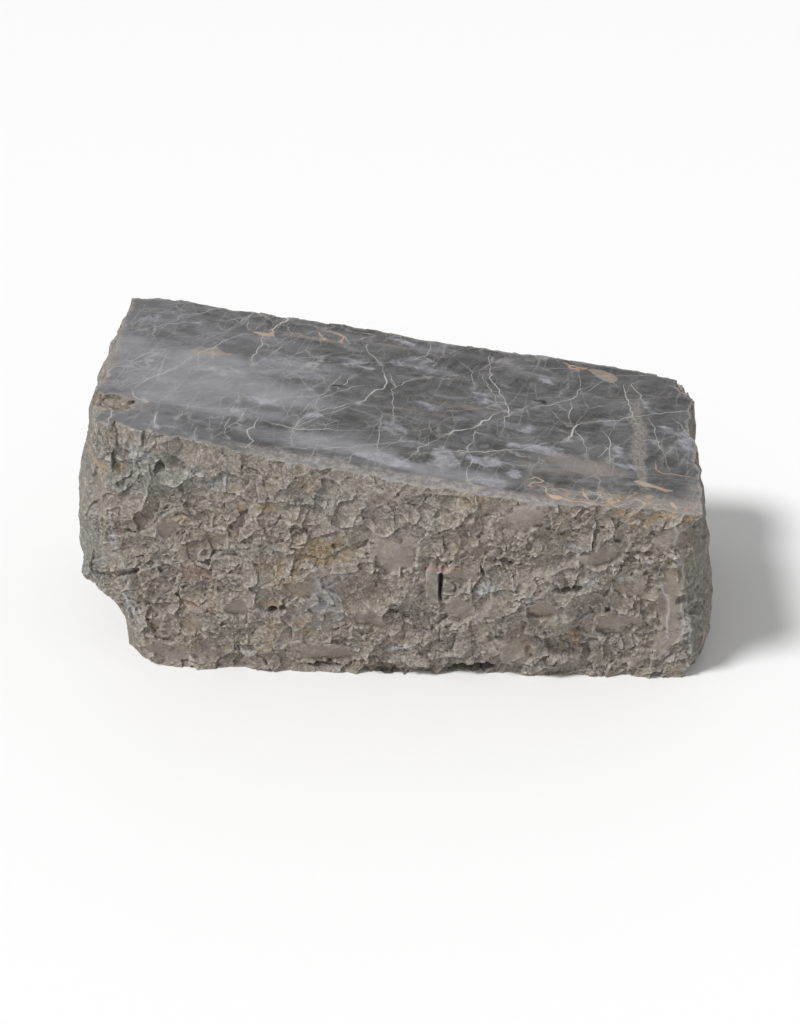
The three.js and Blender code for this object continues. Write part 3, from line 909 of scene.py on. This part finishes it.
SHADE = [
    (0.25, 0.36, 0.16, 0.07, 1.0), (0.62, 0.03, 0.16, 0.05, 0.8), (0.72, 0.14, 0.14, 0.05, 0.7),
    (0.48, -0.27, 0.1, 0.03, 1.0), (0.3, -0.22, 0.1, 0.03, 0.8), (0.88, 0.34, 0.1, 0.08, 0.8),
    (1.02, 0.32, 0.08, 0.08, 0.9), (-0.25, -0.02, 0.06, 0.05, 0.9), (-0.2, 0.14, 0.12, 0.05, 0.7),
    (-0.65, 0.28, 0.12, 0.03, 0.6), (-0.85, 0.45, 0.2, 0.05, 0.5), (-0.52, -0.32, 0.14, 0.03, 0.7),
    (0.64, -0.4, 0.1, 0.02, 1.0), (0.96, -0.14, 0.1, 0.04, 0.8), (0.1, 0.16, 0.1, 0.04, 0.5),
]
DUST = [
    (0.66, -0.26, 0.2, 0.07, 0.8), (0.55, -0.32, 0.14, 0.04, 0.6), (0.6, -0.54, 0.35, 0.035, 1.0),
    (0.97, -0.46, 0.2, 0.07, 1.0), (1.07, -0.34, 0.06, 0.1, 0.7), (0.3, -0.52, 0.3, 0.03, 0.8),
    (-0.93, -0.31, 0.09, 0.05, 0.9), (-1.06, 0.1, 0.05, 0.25, 1.0), (-1.08, -0.15, 0.06, 0.15, 1.0),
    (-0.35, 0.38, 0.2, 0.014, 0.8), (-0.06, 0.42, 0.14, 0.012, 0.6), (0.06, -0.06, 0.12, 0.03, 0.5),
    (0.2, 0.03, 0.14, 0.03, 0.5),
]


def spots(list_of_spots, along, up, where=1.0):
    """Soft ellipses: 1 in the middle, 0 outside, and the strongest one counts."""
    most = np.zeros(len(place))
    for at_a, at_b, half_a, half_b, strength in list_of_spots:
        far = np.hypot((along - at_a) / half_a, (up - at_b) / half_b)
        most = np.maximum(most, strength * smooth_step(far, 1.6, 0.2))
    return most * where


x, y, z = place.T
facing = smooth_step(-outward[:, 1], 0.1, 0.5)
facing_end = smooth_step(np.abs(outward[:, 0]), 0.3, 0.7) * smooth_step(y, 0.2, -0.3)
facing_side = np.maximum(facing, facing_end)
upward = smooth_step(outward[:, 2], 0.6, 0.9)
on_end = smooth_step(np.abs(outward[:, 0]), 0.5, 0.9)
ragged = raggedness(place)
spalled = np.max([spall_share(place, ragged, spall) for spall in SPALLS], axis=0) * facing
masks = {
    "vein": on_whole(vein),
    "seam": seams(PALE_SEAMS, place) * facing_side * (1 - upward),
    "orange_seam": seams(ORANGE_SEAMS, place) * facing_side * (1 - upward),
    "ochre": np.maximum(on_whole(ochre), spots(OCHRE_SPOTS, x, z, facing_side) * (1 - upward)),
    "slit": on_whole(slit),
    "smooth": np.maximum(spalled, 0.7 * on_end),
    # painted shade: the ends of the block are painted darker
    "end": on_end,
    "dust": spots(DUST, x, y, upward),
    "patch": on_whole(patch),
    "ridge": smooth_step(bend, 0.05, 0.26),
    # painted shade: darker where the skin folds inward
    "painted_fold_shade": smooth_step(bend, -0.08, -0.32),
    "pink": spots(PINK_SPOTS, x, z, facing),
    "frost": spots(FROST_SPOTS, x, z, facing_side),
    "grey": np.maximum(spots(GREY_SPOTS, x, z, facing_side), smooth_step(x, -1.0, -1.12)),
    # painted shadow in the pits and hollows of the front
    "hollow_shadow": spots(HOLLOW_SHADOW_SPOTS, x, z, smooth_step(y, -0.1, -0.3)),
    "cloud": spots(CLOUDS, x, y, upward),
    "haze": spots(HAZE, x, y, upward),
    "shade": spots(SHADE, x, y, upward),
}
for name, values in masks.items():
    store(skin, name, values)
skin.set_sharp_from_angle(angle=math.radians(30))
triangles = sum(len(p.vertices) - 2 for p in skin.polygons)
print("stone:", len(skin.polygons), "faces,", triangles, "triangles")

# %% [markdown]
# A material is a tree of nodes, and both materials use the same few kinds many times. Each helper
# below adds one node, connects it and gives back its output, so that a recipe reads from top to
# bottom like a list of coats of paint.

# %% Node helpers


def feed(tree, socket, value):
    """Links a socket to another node's output, or sets it to a plain value."""
    if isinstance(value, bpy.types.NodeSocket):
        tree.links.new(value, socket)
    else:
        socket.default_value = value


def place_node(tree, kind, sockets=None, **settings):
    """Adds a node, sets its settings, and gives its inputs numbers or links."""
    node = tree.nodes.new(kind)
    for key, value in settings.items():
        setattr(node, key, value)
    for key, value in (sockets or {}).items():
        feed(tree, node.inputs[key], value)
    return node


def maths(tree, operation, a, b=0.0, clamp=False):
    node = place_node(tree, "ShaderNodeMath", {0: a, 1: b}, operation=operation, use_clamp=clamp)
    return node.outputs[0]


def times(tree, a, b):
    return maths(tree, "MULTIPLY", a, b)


def minus(tree, a, b):
    return maths(tree, "SUBTRACT", a, b)


def vector_maths(tree, operation, a, b, output=0):
    """Vectors joined by an operation; SCALE takes a number as the second one."""
    second = "Scale" if operation == "SCALE" else 1
    node = place_node(tree, "ShaderNodeVectorMath", {0: a, second: b}, operation=operation)
    return node.outputs[output]


def fit_range(tree, value, least, most=1.0):
    """Squeezes a mask from 0 to 1 into the range from least to most."""
    return place_node(tree, "ShaderNodeMapRange", {0: value, 3: least, 4: most}).outputs[0]


def between(tree, value, low, high):
    """0 below low, 1 above high, smooth in between."""
    return place_node(tree, "ShaderNodeMapRange", {0: value, 1: low, 2: high},
                      interpolation_type="SMOOTHSTEP").outputs[0]


def blend(tree, amount, a, b):
    """Two colours mixed by an amount."""
    node = place_node(tree, "ShaderNodeMix", data_type="RGBA", blend_type="MIX")
    for number, value in ((0, amount), (6, a), (7, b)):
        feed(tree, node.inputs[number], value)
    return node.outputs[2]


def soft_noise(tree, vector, scale, detail=4.0, roughness=0.55, distortion=0.0, output="Fac"):
    node = place_node(tree, "ShaderNodeTexNoise", {
        "Vector": vector, "Scale": scale, "Detail": detail, "Roughness": roughness,
        "Distortion": distortion})
    return node.outputs[output]


def blotches(tree, vector, scale, low, high, detail=4.0, roughness=0.55, distortion=0.0):
    """A mask of soft blotches: noise that is 0 below low and 1 above high."""
    return between(tree, soft_noise(tree, vector, scale, detail, roughness, distortion), low, high)


def stretched(tree, vector, scale, offset=(0, 0, 0)):
    return place_node(tree, "ShaderNodeMapping", {
        "Vector": vector, "Scale": scale, "Location": offset}).outputs[0]


def shade(red, green, blue):
    """A colour as seen on a screen, from 0 to 255, as the linear colour that a shader wants."""
    seen = np.array([red, green, blue]) / 255
    linear = np.where(seen <= 0.04045, seen / 12.92, ((seen + 0.055) / 1.055) ** 2.4)
    return (*[float(v) for v in linear], 1.0)


def group(name, inputs, outputs):
    """An empty node group with named sockets: its tree, its input node and its output node."""
    tree = bpy.data.node_groups.new(name, "ShaderNodeTree")
    for label, kind, value in inputs:
        socket = tree.interface.new_socket(label, in_out="INPUT", socket_type=kind)
        if value is not None:
            socket.default_value = value
    for label, kind in outputs:
        tree.interface.new_socket(label, in_out="OUTPUT", socket_type=kind)
    return tree, tree.nodes.new("NodeGroupInput"), tree.nodes.new("NodeGroupOutput")


def use(tree, made, **inputs):
    """Places a node group in a material and gives back its output."""
    node = tree.nodes.new("ShaderNodeGroup")
    node.node_tree = made
    for key, value in inputs.items():
        feed(tree, node.inputs[key], value)
    return node.outputs[0]


print("black, middle grey and white:", [round(shade(v, v, v)[0], 3) for v in (0, 128, 255)])

# %% [markdown]
# Some effects are needed more than once, so each is a node group with named inputs. Hairlines are
# the borders of warped cells, broken up by noise. Torn edge turns a soft mask into one with a
# ragged outline. Chips gives the height of flakes that are too small for the mesh, and ripples the
# fine strokes that a hammer blow leaves across each flake.

# %% Node groups shared by both materials
VECTOR_INPUT = ("Vector", "NodeSocketVector", None)


def float_inputs(**values):
    """Rows that describe number inputs of a group, with the values they start at."""
    return [(name, "NodeSocketFloat", value) for name, value in values.items()]


def pushed_about(tree, vector, swirl, reach):
    """Coordinates moved by a noise colour, so that straight borders become curved."""
    return vector_maths(tree, "ADD", vector, vector_maths(tree, "SCALE", swirl, reach))


def make_hairlines():
    """Thin lines along the borders of warped cells, missing wherever the noise is low."""
    tree, given, result = group(
        "hairlines",
        [VECTOR_INPUT] + float_inputs(Scale=10.0, Width=0.02, Warp=0.1, Gaps=0.5),
        [("Line", "NodeSocketFloat")])
    where = given.outputs["Vector"]
    swirl = soft_noise(tree, where, 9.0, 5.0, 0.65, output="Color")
    swirl = vector_maths(tree, "SUBTRACT", swirl, (0.5, 0.5, 0.5))
    bent = pushed_about(tree, where, swirl, given.outputs["Warp"])
    borders = place_node(tree, "ShaderNodeTexVoronoi", {
        "Vector": bent, "Scale": given.outputs["Scale"]}, feature="DISTANCE_TO_EDGE")
    near = maths(tree, "DIVIDE", borders.outputs["Distance"], given.outputs["Width"])
    line = maths(tree, "SUBTRACT", 1.0, near, clamp=True)
    broken = soft_noise(tree, where, 7.0, 3.0)
    keep = place_node(tree, "ShaderNodeMapRange", {
        0: broken, 1: given.outputs["Gaps"], 2: 0.72}).outputs[0]
    tree.links.new(times(tree, line, keep), result.inputs["Line"])
    return tree


def make_torn_edge():
    """A soft mask in, a mask with a ragged outline out."""
    tree, given, result = group(
        "torn edge",
        float_inputs(Mask=0.0) + [VECTOR_INPUT] + float_inputs(Scale=20.0, Tear=1.2, Softness=0.25),
        [("Mask", "NodeSocketFloat")])
    rough = soft_noise(tree, given.outputs["Vector"], given.outputs["Scale"], 6.0, 0.6, 0.4)
    shift = times(tree, minus(tree, rough, 0.5), given.outputs["Tear"])
    moved = maths(tree, "ADD", given.outputs["Mask"], shift)
    low = minus(tree, 0.5, given.outputs["Softness"])
    high = maths(tree, "ADD", 0.5, given.outputs["Softness"])
    present = between(tree, given.outputs["Mask"], 0.0, 0.15)
    step = between(tree, moved, low, high)
    tree.links.new(times(tree, step, present), result.inputs["Mask"])
    return tree


def chip_cells(tree, given, swirl_share, reach_share):
    """Bent coordinates, and the Voronoi cell of each point: one cell is one chip."""
    scale = given.outputs["Scale"]
    swirl_scale = scale if swirl_share == 1 else times(tree, scale, swirl_share)
    swirl = soft_noise(tree, given.outputs["Vector"], swirl_scale, 3.0, 0.5, output="Color")
    reach = maths(tree, "DIVIDE", reach_share, scale)
    bent = pushed_about(tree, given.outputs["Vector"], swirl, reach)
    return bent, place_node(tree, "ShaderNodeTexVoronoi", {"Vector": bent, "Scale": scale})


def make_chips():
    """Height of small flat chips: each cell is a little plane that leans its own way."""
    tree, given, result = group(
        "chips", [VECTOR_INPUT] + float_inputs(Scale=60.0, Slope=0.4),
        [("Height", "NodeSocketFloat")])
    bent, plates = chip_cells(tree, given, 0.6, 0.9)
    lean = vector_maths(tree, "SUBTRACT", plates.outputs["Color"], (0.5, 0.5, 0.5))
    inner = vector_maths(tree, "SUBTRACT", bent, plates.outputs["Position"])
    lift = vector_maths(tree, "DOT_PRODUCT", lean, inner, "Value")
    height = times(tree, lift, times(tree, given.outputs["Slope"], 2.0))
    tree.links.new(height, result.inputs["Height"])
    return tree


def make_ripples():
    """Fine strokes that run across each chip in that chip's own direction."""
    tree, given, result = group(
        "ripples", [VECTOR_INPUT] + float_inputs(Scale=18.0, Fineness=60.0),
        [("Strokes", "NodeSocketFloat")])
    bent, chip = chip_cells(tree, given, 1, 0.8)
    angles = vector_maths(tree, "SCALE", chip.outputs["Color"], 2 * math.pi)
    turned_round = place_node(tree, "ShaderNodeVectorRotate", {
        "Vector": bent, "Rotation": angles}, rotation_type="EULER_XYZ").outputs[0]
    drawn_out = stretched(tree, turned_round, (0.22, 1.0, 1.0))
    strokes = soft_noise(tree, drawn_out, given.outputs["Fineness"], 3.0, 0.6, 0.5)
    tree.links.new(strokes, result.inputs["Strokes"])
    return tree


hairlines = make_hairlines()
torn_edge = make_torn_edge()
chips = make_chips()
ripples = make_ripples()
print("node groups:", [g.name for g in bpy.data.node_groups])

# %% [markdown]
# Both materials start in the same way and lay colours over each other. A list of coats keeps that
# short: each coat has a mask for where it lies, a colour and a greatest strength, and the last
# coat lies on top.

# %% Small steps that both materials take


def start_material(name):
    made = bpy.data.materials.new(name)
    made.use_nodes = True
    tree = made.node_tree
    where = tree.nodes.new("ShaderNodeTexCoord").outputs["Object"]
    return made, tree, where, tree.nodes["Principled BSDF"]


def mask(tree, name):
    """One of the masks kept on the vertices."""
    return place_node(tree, "ShaderNodeAttribute", attribute_name=name).outputs["Fac"]


def torn(tree, where, name, scale, tear=1.2, softness=0.25):
    """A mask from the vertices with its outline torn."""
    return use(tree, torn_edge, Mask=mask(tree, name), Vector=where, Scale=scale, Tear=tear,
               Softness=softness)


def lines(tree, where, scale, width, warp, gaps):
    return use(tree, hairlines, Vector=where, Scale=scale, Width=width, Warp=warp, Gaps=gaps)


def coats(tree, colour, layers):
    """Lays colours over another one. Each layer: its mask, its colour, its greatest strength."""
    for amount, over, most in layers:
        colour = blend(tree, times(tree, amount, most), colour, over)
    return colour


def bumped(tree, shader, height):
    """Connects a height in metres to the shader's normal."""
    bump = place_node(tree, "ShaderNodeBump", {"Height": height, "Strength": 1.0, "Distance": 1.0})
    tree.links.new(bump.outputs[0], shader.inputs["Normal"])


print("the masks on the vertices:", ", ".join(masks))

# %% [markdown]
# The sawn face is a dark grey marble. From below to above it has mottled ground, long wisps along
# the bedding, a pale haze at the high end, lavender clouds, a net of hairlines, the crushed column
# near the low end, the orange corner, the dusty lip, and on top the veins from the mesh.

# %% Material: sawn face


def zone(tree, axis, low, full_low, full_high, high):
    """1 between two places along an axis, fading to 0 outside."""
    return times(tree, between(tree, axis, low, full_low), between(tree, axis, high, full_high))


def drawn_along(tree, where, degrees, longer, narrower):
    """Coordinates that draw a pattern out along a direction of the sawn face."""
    return place_node(tree, "ShaderNodeMapping", {
        "Vector": where, "Rotation": (0, 0, math.radians(degrees)),
        "Scale": (longer, narrower, 1.0)}, vector_type="TEXTURE").outputs[0]


def marble_ground(tree, where, bedding, mottle):
    """The stone itself: dark ground, wisps, haze and clouds."""
    wisps = blotches(tree, bedding, 7.0, 0.43, 0.62, 9.0, 0.68, 0.7)
    stroke_lines = drawn_along(tree, where, 55, 2.2, 0.7)
    strokes = blotches(tree, stroke_lines, 15.0, 0.44, 0.64, 7.0, 0.68, 0.4)
    grain = blotches(tree, where, 80.0, 0.42, 0.62, 5.0, 0.72)
    shadow_place = stretched(tree, where, (0.6, 1.3, 1), (7, 3, 0))
    shadow = blotches(tree, shadow_place, 5.0, 0.48, 0.66, 6.0, 0.62)
    haze_lines = drawn_along(tree, where, 25, 1.6, 0.8)
    uneven = blotches(tree, haze_lines, 9.0, 0.38, 0.60, 8.0, 0.70, 0.5)
    haze = times(tree, torn(tree, where, "haze", 6.0, 0.8, 0.45), fit_range(tree, uneven, 0.66))
    cloud_place = stretched(tree, where, (0.7, 1.4, 1))
    small_clouds = blotches(tree, cloud_place, 12.0, 0.56, 0.68, 6.0, 0.6, 0.6)
    clouds = torn(tree, stretched(tree, where, (0.8, 1.2, 1)), "cloud", 17.0, 2.6, 0.28)
    clouds = times(tree, clouds, fit_range(tree, mottle, 0.45))
    cloud_tone = blend(tree, mottle, shade(146, 145, 152), shade(172, 171, 178))
    colour = blend(tree, mottle, shade(66, 65, 65), shade(92, 91, 90))
    return coats(tree, colour, [
        (wisps, shade(119, 118, 120), 0.56),
        (shadow, shade(56, 55, 54), 0.55),
        (torn(tree, bedding, "shade", 11.0, 1.4, 0.35), shade(56, 54, 53), 0.60),
        (haze, shade(153, 152, 157), 0.86),
        (strokes, shade(134, 133, 136), 0.24),
        (grain, shade(140, 138, 138), 0.12),
        (small_clouds, shade(142, 141, 147), 0.42),
        (clouds, cloud_tone, 0.90),
        (torn(tree, bedding, "dust", 14.0, 1.3, 0.35), shade(150, 142, 136), 0.62),
    ])


def net_of_hairlines(tree, where):
    """Four sets of thin white lines, each with its own direction, size and strength."""
    net = 0.0
    for degrees, longer, narrower, scale, width, warp, gaps, strength in (
            (25, 2.2, 1.0, 5.0, 0.014, 0.06, 0.42, 1.0),
            (68, 2.4, 0.8, 10.0, 0.026, 0.05, 0.44, 0.85),
            (78, 2.6, 0.6, 14.0, 0.045, 0.04, 0.47, 0.70),
            (18, 3.0, 0.6, 9.0, 0.030, 0.03, 0.46, 0.60)):
        one = lines(tree, drawn_along(tree, where, degrees, longer, narrower), scale, width, warp, gaps)
        net = maths(tree, "MAXIMUM", net, times(tree, one, strength))
    return net


def crushed_column(tree, where, axes):
    """The column of small broken pieces near the low end, and the pale net between them."""
    sway = times(tree, minus(tree, soft_noise(tree, where, 9.0, 5.0, 0.65), 0.5), 0.11)
    column = times(tree, zone(tree, maths(tree, "ADD", axes[0], sway), 0.844, 0.862, 0.892, 0.912),
                   zone(tree, axes[1], -0.42, -0.30, 0.10, 0.45))
    waver = minus(tree, soft_noise(tree, where, 40.0, 5.0, 0.60, 1.2), 0.5)
    net = between(tree, maths(tree, "ABSOLUTE", waver), 0.070, 0.005)
    return column, times(tree, net, column)


def make_sawn_face():
    made, tree, where, shader = start_material("sawn marble")
    axes = place_node(tree, "ShaderNodeSeparateXYZ", {0: where}).outputs
    bedding = stretched(tree, where, (0.52, 1.2, 1.0), (3.0, 0.0, 0.0))
    mottle = blotches(tree, where, 24.0, 0.30, 0.70, 7.0, 0.66, 0.6)
    colour = marble_ground(tree, where, bedding, mottle)
    column, column_net = crushed_column(tree, where, axes)

    # The low front corner: stained, with pale and orange seams.
    corner = times(tree, between(tree, axes[0], 0.40, 0.62), between(tree, axes[1], -0.36, -0.46))
    stain = times(tree, corner, blotches(tree, where, 12.0, 0.38, 0.6, 5.0))
    pale_seams = lines(tree, stretched(tree, where, (1, 1.4, 1)), 14.0, 0.07, 0.10, 0.30)
    orange_seams = lines(tree, stretched(tree, where, (0.8, 1.3, 1), (2, 3, 0)), 9.0, 0.055, 0.12, 0.36)

    # The worn lip: dusty, with a ragged inner edge.
    lip = place_node(tree, "ShaderNodeMath", {0: axes[0], 1: math.tan(LIP_TURN), 2: LIP_START},
                     operation="MULTIPLY_ADD").outputs[0]
    across = minus(tree, lip, axes[1])
    ragged = times(tree, minus(tree, soft_noise(tree, bedding, 18.0, 6.0), 0.5), 0.07)
    dust = times(tree, between(tree, maths(tree, "ADD", across, ragged), -0.020, 0.012),
                 zone(tree, axes[0], -0.62, -0.40, 0.75, 0.95))
    speckle = blotches(tree, where, 45.0, 0.40, 0.62, 6.0, 0.72)
    lip_tone = blend(tree, speckle, shade(128, 123, 121), shade(168, 162, 157))

    # The fillings and the veins that are in the mesh.
    patch_tone = blend(tree, mottle, shade(136, 128, 120), shade(166, 159, 151))
    fade = blotches(tree, where, 11.0, 0.30, 0.60, 3.0)
    vein = times(tree, mask(tree, "vein"), fit_range(tree, fade, 0.45))
    colour = coats(tree, colour, [
        (net_of_hairlines(tree, where), shade(184, 182, 179), 0.68),
        (column, shade(122, 119, 114), 0.55),
        (column_net, shade(164, 158, 150), 0.62),
        (stain, shade(150, 144, 137), 0.60),
        (times(tree, pale_seams, corner), shade(196, 188, 178), 0.80),
        (times(tree, orange_seams, corner), shade(204, 172, 138), 0.85),
        (dust, lip_tone, 0.78),
        (mask(tree, "ridge"), shade(168, 164, 160), 0.6),
        (mask(tree, "patch"), patch_tone, 0.62),
        (mask(tree, "ochre"), shade(202, 174, 149), 0.85),
        (maths(tree, "POWER", vein, 0.6), shade(205, 204, 200), 0.86),
        (maths(tree, "POWER", mask(tree, "slit"), 0.4), shade(28, 27, 26), 1.0),
    ])
    tree.links.new(colour, shader.inputs["Base Color"])
    tree.links.new(fit_range(tree, mottle, 0.52, 0.66), shader.inputs["Roughness"])
    shader.inputs["Specular IOR Level"].default_value = 0.30
    saw_marks = soft_noise(tree, stretched(tree, where, (3.0, 60.0, 3.0)), 4.0, 3.0)
    small_chips = use(tree, chips, Vector=where, Scale=160.0, Slope=0.06)
    bumped(tree, shader, maths(tree, "ADD", times(tree, saw_marks, 0.0003), small_chips))
    return made


sawn_face = make_sawn_face()
print("sawn face:", len(sawn_face.node_tree.nodes), "nodes")

# %% [markdown]
# The split faces are the same stone with a weathered, brown skin. Its colour follows the shape: bruised
# ridges are pale, folds are painted dark brown as painted shade, and the grey of the fresh stone shows where
# large pieces came off late. The ends of the block, the pits and the hollows get painted shade too, and the
# fine strokes get painted highlight and shade. Ochre, pink and frosty spots come from the water that ran in
# the joints.

# %% Material: split faces


def make_split_faces():
    made, tree, where, shader = start_material("split marble")
    broad = blotches(tree, where, 2.6, 0.40, 0.60, 5.0, 0.62)
    patchy = blotches(tree, where, 12.0, 0.38, 0.64, 7.0, 0.68, 0.8)
    speckle = blotches(tree, where, 70.0, 0.34, 0.68, 6.0, 0.70)
    veil_place = stretched(tree, where, (1, 1, 1.4), (9, 2, 4))
    pale_veil = blotches(tree, veil_place, 22.0, 0.50, 0.64, 7.0, 0.72, 0.8)
    ochre_place = stretched(tree, where, (1, 1, 1), (2, 6, 1))
    ochre_veil = blotches(tree, ochre_place, 5.0, 0.54, 0.68, 6.0, 0.68)
    smooth = mask(tree, "smooth")
    on_spalls = times(tree, smooth, fit_range(tree, patchy, 0.4))
    dusting = blotches(tree, where, 16.0, 0.36, 0.62)
    crushed = times(tree, mask(tree, "ridge"), fit_range(tree, dusting, 0.40))

    # Fine strokes on each chip, from the same noise as the bump: pale on their crests, as scratches and as
    # painted highlight, and painted shade in their troughs; weaker on the spalls.
    rough_part = fit_range(tree, smooth, 1.0, 0.25)
    strokes = use(tree, ripples, Vector=where, Scale=17.0, Fineness=95.0)
    light = times(tree, between(tree, strokes, 0.53, 0.64), rough_part)
    dark = times(tree, between(tree, strokes, 0.45, 0.34), rough_part)
    crack_place = stretched(tree, where, (1, 1, 1.5), (2, 5, 3))
    cracks = lines(tree, crack_place, 10.0, 0.022, 0.20, 0.43)

    colour = blend(tree, broad, shade(148, 138, 125), shade(154, 146, 138))
    colour = coats(tree, colour, [
        (patchy, shade(162, 151, 137), 0.50),
        (speckle, shade(118, 111, 102), 0.38),
        (torn(tree, where, "grey", 9.0, 1.3, 0.35), shade(130, 130, 126), 0.75),
        (pale_veil, shade(178, 172, 163), 0.36),
        (on_spalls, shade(140, 131, 121), 0.42),
        # painted shade on both ends of the block
        (mask(tree, "end"), shade(104, 101, 97), 0.36),
        (torn(tree, where, "ochre", 24.0, 2.0, 0.30), shade(172, 138, 90), 0.50),
        (ochre_veil, shade(164, 143, 110), 0.36),
        (torn(tree, where, "pink", 34.0, 2.0, 0.35), shade(196, 144, 130), 0.42),
        (torn(tree, where, "frost", 34.0, 2.4, 0.14), shade(180, 181, 184), 0.62),
        # painted shade: dark brown in the folds of the skin
        (mask(tree, "painted_fold_shade"), shade(74, 66, 56), 0.50),
        (crushed, shade(200, 195, 188), 0.64),
        (lines(tree, where, 17.0, 0.040, 0.16, 0.42), shade(202, 197, 190), 0.45),
        # painted highlight on the crests of the strokes and painted shade in their troughs
        (light, shade(206, 200, 192), 0.42),
        (dark, shade(84, 76, 67), 0.42),
        (maths(tree, "POWER", mask(tree, "seam"), 0.7), shade(196, 195, 192), 0.62),
        (maths(tree, "POWER", mask(tree, "orange_seam"), 0.7), shade(186, 150, 108), 0.66),
        (cracks, shade(40, 36, 31), 0.85),
        # painted shadow: near black in the pits and hollows
        (mask(tree, "hollow_shadow"), shade(30, 27, 24), 0.85),
    ])
    tree.links.new(colour, shader.inputs["Base Color"])
    tree.links.new(fit_range(tree, speckle, 0.80, 0.94), shader.inputs["Roughness"])
    shader.inputs["Specular IOR Level"].default_value = 0.25

    height = times(tree, strokes, 0.006)
    for scale in (62.0, 135.0):
        flakes = use(tree, chips, Vector=where, Scale=scale, Slope=0.34)
        height = maths(tree, "ADD", height, flakes)
    height = times(tree, height, rough_part)
    sand = times(tree, soft_noise(tree, where, 260.0, 4.0, 0.7), 0.0012)
    height = maths(tree, "ADD", height, sand)
    bumped(tree, shader, minus(tree, height, times(tree, cracks, 0.003)))
    return made


split_faces = make_split_faces()
print("split faces:", len(split_faces.node_tree.nodes), "nodes")

# %% [markdown]
# The mesh already says which of its faces are split and which are sawn, so the two materials only
# have to come in that order. Then the stone is handed over: it rides on the one body of the model
# and stands in for the CAD block.

# %% Put the finishes on the stone
skin.materials.append(split_faces)
skin.materials.append(sawn_face)
print("materials:", [m.name for m in skin.materials])

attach(stone, "root")
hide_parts("marble_block")

# %% [markdown]
# The stone lies on a plain pale floor. An even white sky fills the shadows, and one large soft
# lamp from the upper left shapes the relief: a smaller lamp would make the small scars look
# harder than they are.

# %% Floor and studio light
FLOOR_SIZE = 60
FLOOR_TONE = (0.9, 0.9, 0.9, 1)
SKY_STRENGTH = 0.45
KEY_STRENGTH = 2.7
KEY_SOFTNESS = math.radians(14)
KEY_FROM = Vector((-0.55, -0.32, 0.85))

scene = bpy.context.scene
scene.view_settings.view_transform = "Standard"
bpy.ops.mesh.primitive_plane_add(size=FLOOR_SIZE, location=(0, 0, 0))
floor = bpy.context.object
floor.name = "floor"
floor_finish = bpy.data.materials.new("pale floor")
floor_finish.use_nodes = True
floor_finish.node_tree.nodes["Principled BSDF"].inputs["Base Color"].default_value = FLOOR_TONE
floor.data.materials.append(floor_finish)
floor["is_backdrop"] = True

world = bpy.data.worlds.new("studio")
scene.world = world
world.use_nodes = True
sky = world.node_tree.nodes["Background"]
sky.inputs["Color"].default_value = (1, 1, 1, 1)
sky.inputs["Strength"].default_value = SKY_STRENGTH

sun = bpy.data.lights.new("large soft key", "SUN")
sun.energy = KEY_STRENGTH
sun.angle = KEY_SOFTNESS
key = bpy.data.objects.new("large soft key", sun)
key.rotation_euler = KEY_FROM.to_track_quat("Z", "Y").to_euler()
scene.collection.objects.link(key)
print("lights: sky", SKY_STRENGTH, "and key", KEY_STRENGTH)

# %% [markdown]
# The camera looks down on the stone from a little above and almost straight at its long side. It
# stands far off with a long lens, so the far edge looks nearly as long as the near one.

# %% Camera
CAMERA_TURN = math.radians(2.6)
CAMERA_RISE = math.radians(32)
CAMERA_DISTANCE = 7.525
CAMERA_LENS = 75.59         # millimetres, on the usual 36 mm wide sensor
CAMERA_AIM = Vector((0.024, -0.459, 0.6925))

camera = bpy.data.objects.new("camera", bpy.data.cameras.new("camera"))
scene.collection.objects.link(camera)
camera.data.lens = CAMERA_LENS
back = Vector((math.sin(CAMERA_TURN) * math.cos(CAMERA_RISE),
               -math.cos(CAMERA_TURN) * math.cos(CAMERA_RISE),
               math.sin(CAMERA_RISE)))
camera.location = CAMERA_AIM + back * CAMERA_DISTANCE
camera.rotation_euler = back.to_track_quat("Z", "Y").to_euler()
scene.camera = camera
print("camera at", [round(v, 2) for v in camera.location])

# %% [markdown]
# Last, the bounds of what is shown, apart from the floor, are measured. The fine relief may not
# make the stone bigger than the block it stands for.

# %% Finish
low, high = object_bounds()
